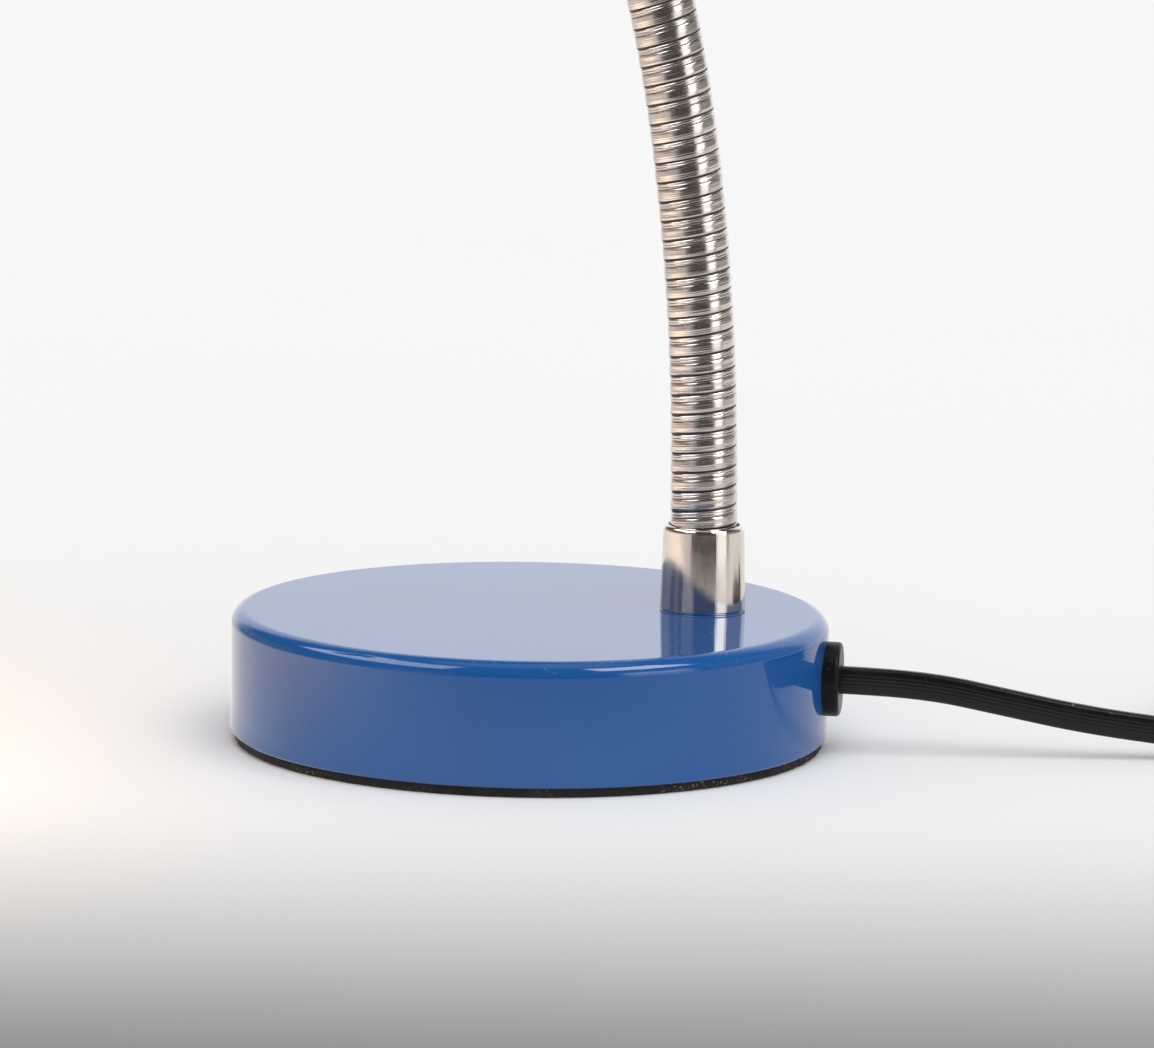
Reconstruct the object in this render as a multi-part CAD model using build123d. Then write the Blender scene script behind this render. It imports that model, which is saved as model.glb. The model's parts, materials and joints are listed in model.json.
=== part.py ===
from build123d import *
import os
from math import cos, hypot, pi, radians, sin, tan

# A gooseneck desk lamp. The origin is the centre of the base's resting face, +Z is up, and +X runs from
# the middle of the base towards the foot of the neck. The neck bends in the XZ plane, and its head hangs
# on the -X side. Lengths are in millimetres, angles in degrees.

os.makedirs("parts", exist_ok=True)

# ---------------------------------------------------------------- base
base_r = 70.0  # outside of the painted cover
cover_height = 28.7  # rim to flat top
cover_wall = 1.2  # drawn steel sheet
cover_edge_r = 3.5  # rounded top edge, outside
pad_thick = 2.1  # foam sheet under the base
pad_inset = 1.2  # how far the foam stays inside the cover
plate_thick = 1.6  # steel sheet that closes the cover
weight_height = 17.0  # cast-iron disc
pocket_floor = 3.6  # iron left under the wiring pocket
pocket_r = 16.5  # wiring pocket round the foot of the neck
channel_width = 20.0  # slot in the iron for the cord

screw_count = 3  # countersunk screws through the plate
screw_inset = 24.0  # from the outside of the cover to the middle of each screw
screw_first_angle = 60.0
screw_r = 2.0
screw_head_r = 3.8
screw_length = 12.0
screw_hole_end = 0.5  # hole past the end of a screw

# ---------------------------------------------------------------- neck
neck_inset = 29.3  # from the outside of the cover to the middle of the neck
hose_r = 7.85  # outside of the hose's turns
groove_depth = 0.5  # step between the turns
hose_bore_r = 5.4
strip_step = 4.6  # one turn of the wound strip along the hose
strip_width = 3.0  # the raised part of each turn
turns_per_link = 8
link_bends = [1.5, 3.7, 3.5, 6.5, 7.5, 10.0, 13.0, 20.0, 27.0, 31.0, 26.3, 0.0]  # of each length, at rest
joint_gap = 2.0  # open groove where two lengths of hose turn against each other
spigot_r = 6.6  # ball-shaped inner sleeve that bridges that groove
spigot_reach = 2.6  # how far it enters the next length
spigot_root = 2.2  # how far it starts inside its own length
spigot_wall = 1.4
socket_depth = 4.4
lead_r = 2.2  # two-core lead inside the lamp
lead_gap = 0.8  # slack between its lengths

ferrule_foot_r = 10.1
ferrule_mouth_r = 9.45
ferrule_height = 20.2
ferrule_floor = 5.0
ferrule_foot_edge = 0.4
ferrule_rim_r = 1.15  # rounded mouth
nipple_r = 5.0  # threaded tube, M10 x 1
nipple_bore_r = 3.8
nipple_below_nut = 2.0
nut_across_flats = 14.0
nut_height = 4.0
washer_r = 10.0
washer_thick = 1.2

# ------------------------------------------------------------ head, along its own axis from the hose's end
cap_r = 23.0  # painted cap over the lampholder
cap_wall = 1.0
cap_edge_r = 4.0
cap_length = 41.2
holder_r = 19.0
holder_length = 48.0
holder_crown = 6.8  # plastic above the terminal chamber
chamber_r = 15.0
chamber_height = 13.0
holder_floor = 4.0  # carries the contacts
shoulder_r = 21.5
shoulder_thick = 2.5
shoulder_proud = 0.3  # how far it stands out of the cap's rim
shell_r = 14.4  # brass screw shell, outside
shell_wall = 0.5
shell_height = 20.0
contact_r = 4.0
contact_thick = 1.5
shade_collar_r = 26.0  # flat collar at the top of the shade
shade_mouth_r = 62.5
shade_length = 92.0
shade_wall = 0.9
shade_bead_r = 1.5  # rolled rim
ring_r = 24.0  # threaded ring that clamps the shade
ring_height = 5.5

bulb_r = 22.5
bulb_length = 78.0
bulb_wall = 0.8
bulb_base_r = 13.5
bulb_base_wall = 0.6
bulb_base_height = 22.0
bulb_tip_height = 2.5
bulb_neck_r = 12.7
bulb_neck_depth = 7.0  # glass inside the screw base
bulb_flare_r = 9.0  # between neck and ball

switch_height = 11.0
switch_width = 12.0
switch_depth = 10.0
switch_back = 3.4  # from the head's axis
shaft_r = 2.5
shaft_reach = 6.0  # into the switch
knob_r = 7.0
knob_length = 13.0
knob_edge = 1.0
knob_foot = 2.0  # plain ring under the flutes
knob_flutes = 12
knob_flute_r = 0.7
knob_lift = 0.6  # running gap over the cap

# ---------------------------------------------------------------- mains cord
cord_z = 16.7  # middle of the cord where it leaves the cover
exit_angle = -14.0  # seen from above, from +X
cord_r = 3.35  # half of the flat cord's width
bushing_r = 8.85
bushing_proud = 4.2
bushing_edge_r = 2.0
bushing_shank_r = 5.4
bushing_lip_r = 6.6
bushing_lip = 2.6
clamp_to_lip = 3.2  # from the clamp to the bushing's inner lip
clamp_length = 8.0
clamp_width = 19.0
lead_straight = 9.0  # from the clamp to where the lead bends towards the neck
clamp_cover = 4.6  # plastic above the cord
clamp_screw_spread = 13.2
clamp_screw_r = 1.5
clamp_screw_head_r = 2.75
clamp_screw_head = 2.0
clamp_screw_bite = 3.0  # thread in the iron

cord_route = [
    (92.0, -22.4, 16.2),
    (108.0, -24.9, 13.0),
    (126.0, -27.3, 9.3),
    (146.0, -30.3, 6.3),
    (168.0, -33.9, 3.9),
    (195.4, -37.4, 4.1),
]
coil_centre = (202.0, 6.0)
coil_inner_turn_r = 29.2  # middle of the innermost turn
coil_outer_turn_r = 43.9
coil_turn_half = 1.9  # half of a turn's share of the coil's width
coil_layers = 2
coil_layer = 6.8  # height of one layer of cord standing on edge
coil_edge_r = 1.2
coil_lift = 0.1  # the strap's gap over the floor
tie_width = 6.0
tie_thick = 0.6
tie_angle = 90.0
tail_inset = 0.9  # the top layer's last turn inside the outermost one
tail_ease = 0.6  # how far the tail eases out and down in its first run
tail_end = 44.0  # where the cord enters its plug, along Y
plug_x = 245.5
plug_width = 24.0
plug_thick = 14.0
plug_length = 26.0
plug_edge_r = 3.0
plug_face_edge_r = 1.0
boot_length = 12.0
boot_width = 11.0
boot_thick = 9.0
boot_taper = 8.0
blade_spread = 12.7
blade_width = 6.35
blade_thick = 1.5
blade_length = 17.0
blade_edge = 1.2
blade_hole_r = 1.55
blade_hole_inset = 4.0

# ---------------------------------------------------------------- fits
slip = 0.15  # between pieces that slide together and stay
thread = 0.05  # between threads, drawn plain
running = 0.05  # between the switch and its shaft
free = 0.6  # round a shaft that passes through sheet metal
ball_gap = 0.3  # round the ball-shaped sleeves
seat_gap = 0.25  # between the hose and the ferrule round it
past = 1.0  # how far a cutting shape reaches past what it cuts
near = 0.1  # how close an edge lies to where it is looked for

# ---------------------------------------------------------------- worked out
rim_z = pad_thick
plate_top = rim_z + plate_thick
weight_top = plate_top + weight_height
pocket_z = plate_top + pocket_floor
top_z = pad_thick + cover_height
under_top = top_z - cover_wall
cover_in_r = base_r - cover_wall
weight_r = cover_in_r - slip
screw_circle_r = base_r - screw_inset
neck_x = base_r - neck_inset
clamp_inner = cover_in_r - bushing_lip - clamp_to_lip - clamp_length
hose_z = top_z + ferrule_floor
groove_r = hose_r - groove_depth
link_length = strip_step * turns_per_link
seat_r = hose_r + seat_gap
nipple_foot = under_top - washer_thick - nut_height - nipple_below_nut
radial = Rot(0, 0, exit_angle) * Pos(0, 0, cord_z) * Rot(0, 90, 0)  # +Z runs outwards along the cord's exit


def save(shape, node):
    """Writes one node."""
    export_step(shape, f"parts/{node}.step")


def rod(radius, low, high):
    """A round bar along +Z."""
    return Pos(0, 0, low) * Cylinder(radius, high - low, align=(Align.CENTER, Align.CENTER, Align.MIN))


def tube(outer, inner, low, high):
    """A round tube along +Z."""
    return rod(outer, low, high) - rod(inner, low - past, high + past)


def block(x, y, low, high):
    """A rectangular bar along +Z, centred on the axis."""
    return Pos(0, 0, low) * Box(x, y, high - low, align=(Align.CENTER, Align.CENTER, Align.MIN))


def hex_nut(low, high):
    """A thin hexagonal nut on the nipple's thread."""
    flats = RegularPolygon(nut_across_flats / 2, 6, major_radius=False)
    return Pos(0, 0, low) * extrude(flats - Circle(nipple_r + thread), high - low)


def ferrule():
    """The turned sleeve that holds an end of the hose: its floor is at z 0 and its mouth on top."""
    rim = ferrule_mouth_r - seat_r
    outline = Polyline(
        (0, 0),
        (ferrule_foot_r - ferrule_foot_edge, 0),
        (ferrule_foot_r, ferrule_foot_edge),
        (ferrule_mouth_r, ferrule_height),
        (0, ferrule_height),
        close=True,
    )
    body = revolve(Plane.XZ * make_face(outline), Axis.Z)
    body -= rod(seat_r, ferrule_floor, ferrule_height + past)
    mouth = body.edges().group_by(Axis.Z)[-1].sort_by(lambda e: e.radius)[-1]
    body = fillet(mouth, min(ferrule_rim_r, 0.9 * rim))
    return body - rod(nipple_r + thread, -past, ferrule_floor + past)


# ---------------------------------------------------------------- base pieces
def base_cover():
    outside = fillet(rod(base_r, rim_z, top_z).edges().group_by(Axis.Z)[-1], cover_edge_r)
    inside = rod(cover_in_r, rim_z - past, under_top)
    inside = fillet(inside.edges().group_by(Axis.Z)[-1], cover_edge_r - cover_wall)
    neck_hole = Pos(neck_x, 0, 0) * rod(nipple_r + slip, under_top - past, top_z + past)
    cord_hole = radial * rod(bushing_shank_r + slip, cover_in_r - past, base_r + past)
    return outside - inside - neck_hole - cord_hole


def screw_places():
    """The turns about +Z that carry each bottom screw from the X axis to its place."""
    turns = [screw_first_angle + i * 360 / screw_count for i in range(screw_count)]
    return [Rot(0, 0, turn) * Pos(screw_circle_r, 0, 0) for turn in turns]


def clamp_screw_places():
    """The two clamp screws, one on each side of the cord."""
    across = Rot(0, 0, exit_angle) * Pos(clamp_inner + clamp_length / 2, 0, 0)
    return [across * Pos(0, side * clamp_screw_spread / 2, 0) for side in (-1, 1)]


def base_weight():
    iron = rod(weight_r, plate_top, weight_top)
    iron -= Pos(neck_x, 0, 0) * rod(pocket_r, pocket_z, weight_top + past)
    slot = Box(base_r, channel_width, weight_top, align=(Align.MIN, Align.CENTER, Align.MIN))
    iron -= Rot(0, 0, exit_angle) * Pos(neck_x, 0, pocket_z) * slot
    for place in screw_places():
        iron -= place * rod(screw_r + thread, plate_top - past, rim_z + screw_length + screw_hole_end)
    for place in clamp_screw_places():
        hole_floor = pocket_z - clamp_screw_bite - screw_hole_end
        iron -= place * rod(clamp_screw_r + thread, hole_floor, pocket_z + past)
    return iron


def base_bottom_plate():
    plate = rod(cover_in_r - slip, rim_z, plate_top)
    for place in screw_places():
        countersink = Cone(screw_head_r + slip, screw_r + slip, plate_thick)
        plate -= place * Pos(0, 0, rim_z + plate_thick / 2) * countersink
    return plate


def bottom_screws():
    middle = rim_z + plate_thick / 2
    head = Pos(0, 0, middle) * Cone(screw_head_r, screw_r, plate_thick)
    screw = head + rod(screw_r, middle, rim_z + screw_length)
    return Compound(children=[place * screw for place in screw_places()])


def cord_bushing():
    flange = rod(bushing_r, base_r - past, base_r + bushing_proud)
    flange = fillet(flange.edges().group_by(Axis.Z)[-1], bushing_edge_r)
    flange = radial * flange - rod(base_r, 0, top_z)
    shank = radial * rod(bushing_shank_r, cover_in_r - bushing_lip, base_r + past)
    lip = radial * rod(bushing_lip_r, cover_in_r - bushing_lip, base_r) & rod(cover_in_r - thread, 0, top_z)
    return flange + shank + lip - radial * rod(cord_r + slip, 0, base_r + bushing_proud + past)


def cord_clamp():
    saddle = block(clamp_length, clamp_width, pocket_z, cord_z + clamp_cover)
    saddle = Rot(0, 0, exit_angle) * Pos(clamp_inner + clamp_length / 2, 0, 0) * saddle
    saddle -= radial * rod(cord_r + thread, clamp_inner - past, clamp_inner + clamp_length + past)
    for place in clamp_screw_places():
        saddle -= place * rod(clamp_screw_r + slip, pocket_z - past, cord_z + clamp_cover + past)
    return saddle


def clamp_screws():
    top = cord_z + clamp_cover
    screw = rod(clamp_screw_head_r, top, top + clamp_screw_head)
    screw += rod(clamp_screw_r, pocket_z - clamp_screw_bite, top + clamp_screw_head / 2)
    return Compound(children=[place * screw for place in clamp_screw_places()])


def run_radii(points):
    """The bend radius at each inner point: 0.45 of the shorter run over the tangent of half the turn."""
    radii = []
    for before, at, after in zip(points, points[1:], points[2:]):
        one, two = Vector(*at) - Vector(*before), Vector(*after) - Vector(*at)
        shorter = min(one.length, two.length)
        radii.append(0.45 * shorter / tan(radians(one.get_angle(two)) / 2))
    return radii


def swept(points, radius, name):
    """A round tube along a route of straight runs and tangent arcs. Prints its tightest bend and volume."""
    radii = run_radii(points)
    path = FilletPolyline(*points, radius=radii)
    start = Plane(origin=path @ 0, z_dir=path % 0)
    body = sweep(start * Circle(radius), path)
    share = body.volume / (pi * radius**2 * path.length)
    print(name, "radii", [round(r, 1) for r in radii])
    print(name, "length", round(path.length, 1), "volume share", round(share, 4))
    return body


def exit_point(reach):
    """A point on the cord's straight exit, at that distance from the middle of the base."""
    return (reach * cos(radians(exit_angle)), reach * sin(radians(exit_angle)), cord_z)


def base_lead():
    """The lead from the clamp through the wiring pocket and up the nipple to the foot of the hose."""
    under = (neck_x, 0, pocket_z + lead_r + slip)
    route = [exit_point(clamp_inner), exit_point(clamp_inner - lead_straight), under, (neck_x, 0, hose_z)]
    return swept(route, lead_r, "base_lead")


save(base_cover(), "base_cover")
save(base_weight(), "base_weight")
save(base_bottom_plate(), "base_bottom_plate")
save(rod(base_r - pad_inset, 0, pad_thick), "base_pad")
save(bottom_screws(), "bottom_screws")
save(cord_bushing(), "cord_bushing")
save(cord_clamp(), "cord_clamp")
save(clamp_screws(), "clamp_screws")
save(base_lead(), "base_lead")

# ---------------------------------------------------------------- neck pieces
foot = Pos(neck_x, 0, 0)
washer = tube(washer_r, nipple_r + slip, under_top - washer_thick, under_top)
nut_top = under_top - washer_thick
save(foot * Pos(0, 0, top_z) * ferrule(), "lower_ferrule")
save(foot * tube(nipple_r, nipple_bore_r, nipple_foot, hose_z - slip), "neck_nipple")
save(foot * washer, "neck_washer")
save(foot * hex_nut(nut_top - nut_height, nut_top), "neck_nut")


def link_hub(bend):
    """The axis that a length of hose bends about: it starts at 0, leaves along +Z and turns to -X."""
    return Axis((-link_length / radians(bend), 0, 0), (0, -1, 0))


def sleeve(bend, start, end, outer, inner=0.0):
    """A round sleeve that follows a length of hose from start to end of its middle line."""
    section = Circle(outer) - Circle(inner) if inner else Circle(outer)
    if not bend:
        return Pos(0, 0, start) * extrude(section, end - start)
    share = bend / link_length
    piece = revolve(section, link_hub(bend), (end - start) * share)
    return piece.rotate(link_hub(bend), start * share)


def carry(shape, bend):
    """Moves a shape from the start of a length of hose to its end."""
    return shape.rotate(link_hub(bend), bend) if bend else Pos(0, 0, link_length) * shape


def hose_link(bend, first, last):
    """A length of hose: raised turns on a thin tube, with a socket below and a ball-shaped sleeve above."""
    low = 0.0 if first else joint_gap / 2
    high = link_length if last else link_length - joint_gap / 2
    link = sleeve(bend, low, high, groove_r, hose_bore_r)
    for turn in range(turns_per_link):
        middle = (turn + 0.5) * strip_step
        band = max(middle - strip_width / 2, low), min(middle + strip_width / 2, high)
        link += sleeve(bend, *band, hose_r, (groove_r + hose_bore_r) / 2)
    if not first:
        link -= rod(spigot_r + ball_gap, -past, socket_depth)
    if not last:
        ball = Sphere(spigot_r) & rod(spigot_r + past, -spigot_root, spigot_reach)
        link += carry(ball - rod(spigot_r - spigot_wall, -spigot_r, spigot_r), bend)
    return link


def neck_frames():
    """Where each length of hose starts, and where the last one ends: x, z and the lean from upright."""
    x, z, lean = neck_x, hose_z, 0.0
    frames = [(x, z, lean)]
    for bend in link_bends:
        middle = radians(lean + bend / 2)
        half = radians(bend) / 2
        chord = link_length * (sin(half) / half if half else 1.0)
        x, z, lean = x - chord * sin(middle), z + chord * cos(middle), lean + bend
        frames.append((x, z, lean))
    return frames


frames = neck_frames()
for i, bend in enumerate(link_bends):
    x, z, lean = frames[i]
    at = Pos(x, 0, z) * Rot(0, -lean, 0)
    first, last = i == 0, i == len(link_bends) - 1
    lead_start = 0.0 if first else lead_gap / 2
    lead_end = link_length if last else link_length - lead_gap / 2
    save(at * hose_link(bend, first, last), f"hose_link_{i + 1:02d}")
    save(at * sleeve(bend, lead_start, lead_end, lead_r), f"lead_link_{i + 1:02d}")
print("neck frames", [(round(x, 3), round(z, 3), round(lean, 2)) for x, z, lean in frames])

# ---------------------------------------------------------------- head pieces, along the head's own axis
head = Pos(frames[-1][0], 0, frames[-1][1]) * Rot(0, -frames[-1][2], 0)
cap_top = ferrule_floor
cap_rim = cap_top + cap_length
nut_low = cap_top + cap_wall
holder_top = nut_low + nut_height + slip
chamber_top = holder_top + holder_crown
chamber_floor = chamber_top + chamber_height
shell_top = chamber_floor + holder_floor
holder_rim = holder_top + holder_length
shoulder_top = cap_rim - shoulder_thick + shoulder_proud
shade_top = shoulder_top + shoulder_thick
shade_mouth = shade_top + shade_length
tip = shell_top + contact_thick
switch_top = chamber_floor - switch_height
switch_axis = chamber_floor - switch_height / 2
sideways = Pos(0, 0, switch_axis) * Rot(90, 0, 0)  # +Z runs out of the head along -Y


def socket_cap():
    outside = fillet(rod(cap_r, cap_top, cap_rim).edges().group_by(Axis.Z)[0], cap_edge_r)
    inside = rod(cap_r - cap_wall, cap_top + cap_wall, cap_rim + past)
    inside = fillet(inside.edges().group_by(Axis.Z)[0], cap_edge_r - cap_wall)
    nipple_hole = rod(nipple_r + slip, cap_top - past, cap_top + cap_wall + past)
    shaft_hole = sideways * rod(shaft_r + free, 0, cap_r + past)
    return outside - inside - nipple_hole - shaft_hole


def lampholder():
    body = rod(holder_r, holder_top, holder_rim) + rod(shoulder_r, shoulder_top, shade_top)
    body -= rod(nipple_r + thread, holder_top - past, chamber_top + past)
    body -= rod(chamber_r, chamber_top, chamber_floor)
    body -= rod(shell_r + slip, shell_top, holder_rim + past)
    return body - sideways * rod(shaft_r + free, 0, holder_r + past)


def shade():
    """A flat collar that runs into a cone, with a rolled rim at its mouth."""
    flare = shade_mouth_r - shade_collar_r
    across = shade_wall * hypot(flare, shade_length) / shade_length  # the cone's wall, measured level
    collar_floor = shade_top + shade_wall
    outline = Polyline(
        (holder_r + slip, shade_top),
        (shade_collar_r, shade_top),
        (shade_mouth_r, shade_mouth),
        (shade_mouth_r - across, shade_mouth),
        (shade_collar_r - across + shade_wall * flare / shade_length, collar_floor),
        (holder_r + slip, collar_floor),
        close=True,
    )
    cone = revolve(Plane.XZ * make_face(outline), Axis.Z)
    bead = Pos(0, 0, shade_mouth) * Torus(shade_mouth_r - across / 2, shade_bead_r)
    return cone + bead


def bulb_glass():
    """A thin round envelope whose neck sits in the screw base."""
    neck_low = tip + bulb_tip_height + bulb_base_height - bulb_neck_depth
    crown = tip + bulb_length
    middle = crown - bulb_r

    def envelope(ball_r, neck_r, low, flare):
        joint = middle - (ball_r**2 - neck_r**2) ** 0.5
        body = Pos(0, 0, middle) * Sphere(ball_r) + rod(neck_r, low, middle)
        return fillet(body.edges().filter_by_position(Axis.Z, joint - near, joint + near), flare)

    outer = envelope(bulb_r, bulb_neck_r, neck_low, bulb_flare_r)
    flare = bulb_flare_r + bulb_wall
    return outer - envelope(bulb_r - bulb_wall, bulb_neck_r - bulb_wall, neck_low - past, flare)


def bulb_base():
    """The hollow screw base, with the contact button on its end."""
    low = tip + bulb_tip_height
    inner = bulb_neck_r + slip
    rim = low + bulb_base_height
    cup = rod(bulb_base_r, low, rim) - rod(inner, low + bulb_base_wall, rim + past)
    return cup + rod(contact_r, tip, low + bulb_base_wall / 2)


def switch_body():
    middle_y = -(switch_back + switch_depth / 2)
    body = Pos(0, middle_y, 0) * block(switch_width, switch_depth, switch_top, chamber_floor)
    return body - sideways * rod(shaft_r + running, 0, switch_back + switch_depth + past)


def switch_knob():
    low = cap_r + knob_lift
    knob = chamfer(rod(knob_r, low, low + knob_length).edges().group_by(Axis.Z)[-1], knob_edge)
    for i in range(knob_flutes):
        flute = Pos(knob_r, 0, 0) * rod(knob_flute_r, low + knob_foot, low + knob_length + past)
        knob -= Rot(0, 0, i * 360 / knob_flutes) * flute
    return sideways * (knob + rod(shaft_r, switch_back + switch_depth - shaft_reach, low + knob_foot))


contact = rod(contact_r, shell_top, tip)
ring = tube(ring_r, holder_r + thread, shade_top + shade_wall, shade_top + shade_wall + ring_height)
save(head * Pos(0, 0, ferrule_floor) * Rot(180, 0, 0) * ferrule(), "upper_ferrule")
save(head * tube(nipple_r, nipple_bore_r, slip, chamber_top), "head_nipple")
save(head * hex_nut(nut_low, nut_low + nut_height), "head_nut")
save(head * rod(lead_r, 0, chamber_floor), "head_lead")
save(head * socket_cap(), "socket_cap")
save(head * lampholder(), "lampholder")
save(head * tube(shell_r, shell_r - shell_wall, shell_top, shell_top + shell_height), "screw_shell")
save(head * contact, "centre_contact")
save(head * shade(), "shade")
save(head * ring, "shade_ring")
save(head * bulb_glass(), "bulb_glass")
save(head * bulb_base(), "bulb_base")
save(head * switch_body(), "switch_body")
save(head * switch_knob(), "switch_knob")
print("switch axis", (head * Pos(0, 0, switch_axis)).position)

# ---------------------------------------------------------------- mains cord and what is on it
coil_low = tie_thick + coil_lift
coil_top = coil_low + coil_layers * coil_layer
coil_in = coil_inner_turn_r - coil_turn_half
coil_out = coil_outer_turn_r + coil_turn_half
coil_at = Pos(coil_centre[0], coil_centre[1], 0)


def coil():
    """The outer shape of the put-away length, wound on edge in layers."""
    body = tube(coil_out, coil_in, coil_low, coil_top)
    return coil_at * fillet(body.edges().filter_by(GeomType.CIRCLE), coil_edge_r)


def coil_tie():
    """A strap round the coil's section."""
    width, height = slip + tie_thick, tie_thick
    outer = tube(coil_out + width, coil_in - width, coil_low - height, coil_top + height)
    inner = tube(coil_out + slip, coil_in - slip, coil_low, coil_top)
    reach = block(2 * (coil_out - coil_in), tie_width, coil_low - 2 * height, coil_top + 2 * height)
    reach = Pos((coil_out + coil_in) / 2, 0, 0) * reach
    return coil_at * Rot(0, 0, tie_angle) * ((outer - inner) & reach)


def tail_points():
    """The last stretch, from the top layer of the coil down to the plug."""
    x, y = coil_centre[0] + coil_outer_turn_r - tail_inset, coil_centre[1]
    top = coil_top - coil_layer / 2
    run = (tail_end - y) / 3
    eased = (x + tail_ease, y + run, top - tail_ease)
    return [(x, y, top), eased, (plug_x, tail_end - run, plug_z), (plug_x, tail_end, plug_z)]


plug_z = plug_thick / 2
plug_at = Pos(plug_x, tail_end + boot_length, plug_z) * Rot(-90, 0, 0)  # +Z runs to the blades, along +Y


def plug_body():
    outline = RectangleRounded(plug_width, plug_thick, plug_edge_r)
    body = extrude(outline, plug_length)
    body = fillet(body.edges().group_by(Axis.Z)[-1], plug_face_edge_r)
    boot = extrude(RectangleRounded(boot_width, boot_thick, plug_edge_r), boot_length, taper=boot_taper)
    return plug_at * (body + Rot(180, 0, 0) * boot)


def plug_blades():
    pair = []
    for side in (-1, 1):
        blade = block(blade_thick, blade_width, plug_length, plug_length + blade_length)
        blade = chamfer(blade.edges().group_by(Axis.Z)[-1].filter_by(Axis.X), blade_edge)
        eye = Pos(0, 0, plug_length + blade_length - blade_hole_inset) * Rot(0, 90, 0)
        blade -= eye * rod(blade_hole_r, -blade_thick, blade_thick)
        pair.append(plug_at * Pos(side * blade_spread / 2, 0, 0) * blade)
    return Compound(children=pair)


cord_points = [exit_point(clamp_inner), exit_point(base_r + bushing_proud)] + cord_route
save(swept(cord_points, cord_r, "power_cord"), "power_cord")
save(coil(), "power_cord_coil")
save(swept(tail_points(), cord_r, "power_cord_tail"), "power_cord_tail")
save(coil_tie(), "coil_tie")
save(plug_body(), "plug_body")
save(plug_blades(), "plug_blades")
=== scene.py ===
# %% [markdown]
# # A gooseneck desk lamp, dressed
# The lamp's solids come from its construction model, at their real size and place. This lesson gives them
# their looks: gloss paint, a wound nickel hose, a flat mains cord and an opal bulb. Everything is in metres,
# in the model's own frame: the origin is the middle of the base's resting face, +Z is up, and +X runs from
# there towards the foot of the neck.
# %% Load the measured lamp
import json
from math import asin, atan2, ceil, cos, pi, radians, sin, tan

import bmesh
import bpy
from mathutils import Matrix, Vector, noise


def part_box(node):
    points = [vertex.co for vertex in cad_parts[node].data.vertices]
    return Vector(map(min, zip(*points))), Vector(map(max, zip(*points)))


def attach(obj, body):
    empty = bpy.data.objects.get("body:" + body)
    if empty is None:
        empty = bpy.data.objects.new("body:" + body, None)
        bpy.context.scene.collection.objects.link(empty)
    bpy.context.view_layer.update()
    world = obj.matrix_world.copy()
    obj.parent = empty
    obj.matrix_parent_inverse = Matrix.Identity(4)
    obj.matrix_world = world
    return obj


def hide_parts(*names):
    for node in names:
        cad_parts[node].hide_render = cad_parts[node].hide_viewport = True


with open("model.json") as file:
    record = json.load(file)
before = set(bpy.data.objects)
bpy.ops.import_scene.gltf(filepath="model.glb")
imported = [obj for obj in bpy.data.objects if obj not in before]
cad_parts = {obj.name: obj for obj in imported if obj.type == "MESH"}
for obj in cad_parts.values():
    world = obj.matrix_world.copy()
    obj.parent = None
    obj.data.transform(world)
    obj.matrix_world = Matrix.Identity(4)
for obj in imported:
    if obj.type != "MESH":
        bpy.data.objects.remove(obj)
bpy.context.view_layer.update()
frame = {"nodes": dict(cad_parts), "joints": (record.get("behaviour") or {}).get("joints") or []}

MM = 0.001
scene = bpy.context.scene
scene.view_settings.view_transform = "Standard"

# %% [markdown]
# ## The camera
# A long lens a metre and a half away keeps the round base nearly free of perspective. The camera stands a
# little to the left of the lamp's own front, looks down by nine degrees and leans by one. It is set from
# its three directions, because that says exactly where the picture's right and top are.
# %% Camera
view_turn = radians(7.0)
look_down = 0.162048
lean_right = 0.017276
eye = Vector((-181.7, -1566.7, 309.1)) * MM
level_forward = Vector((sin(view_turn), cos(view_turn), 0))
level_right = Vector((cos(view_turn), -sin(view_turn), 0))
forward = level_forward * cos(look_down) - Vector((0, 0, sin(look_down)))
upward = level_right.cross(forward)
picture_right = level_right * cos(lean_right) + upward * sin(lean_right)
picture_up = upward * cos(lean_right) - level_right * sin(lean_right)


def placed(name, data):
    """A new object in the scene."""
    made = bpy.data.objects.new(name, data)
    scene.collection.objects.link(made)
    return made


camera = placed("camera", bpy.data.cameras.new("camera"))
camera.data.sensor_width = 36.0
camera.data.lens = 213.19
camera.data.clip_end = 50.0
facing = Matrix((picture_right, picture_up, -forward)).transposed()
camera.matrix_world = Matrix.Translation(eye) @ facing.to_4x4()
scene.camera = camera
print("camera stands", round(eye.length, 3), "m from the base")

# %% [markdown]
# ## The mains cord's route
# A flat two-core cord leaves the base through a bushing, sinks to the table and runs to the length that is
# put away: turns wound on edge in two layers, tied once, with the plug beside them. One smooth NURBS line
# goes through the whole of it, so that the cord bends like a cord and not like wire. Its points are the
# construction model's own, and the coil's turns are worked out by a loop.
# %% Cord route
exit_angle = radians(-14.0)
cord_height = 17.1 * MM
clamp_reach = 55.0 * MM
bushing_face = 74.2 * MM
cord_width = 6.5 * MM
cord_thick = 3.7 * MM


def exit_point(reach):
    """A point on the cord's straight way out of the base."""
    return Vector((reach * cos(exit_angle), reach * sin(exit_angle), cord_height))


seen_route = [
    (92.0, -22.4, 16.2),
    (108.0, -24.9, 13.0),
    (126.0, -27.3, 9.3),
    (146.0, -29.2, 6.5),
    (168.0, -32.0, 4.2),
    (195.4, -37.4, 4.1),
]
tail_route = [(245.6, 18.7, 10.3), (245.5, 31.3, 7.0), (245.5, 44.0, 7.0), (245.5, 47.0, 7.0)]
coil_centre = Vector((202.0, 6.0, 0.0)) * MM
outer_turn = 43.9 * MM
inner_turn = 29.2 * MM
turn_step = 3.9 * MM
turns_out = 3
layer_heights = (4.1 * MM, 10.9 * MM)
first_angle = atan2(seen_route[-1][1] * MM - coil_centre.y, seen_route[-1][0] * MM - coil_centre.x)
points_per_turn = 24
climb = radians(100)


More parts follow.
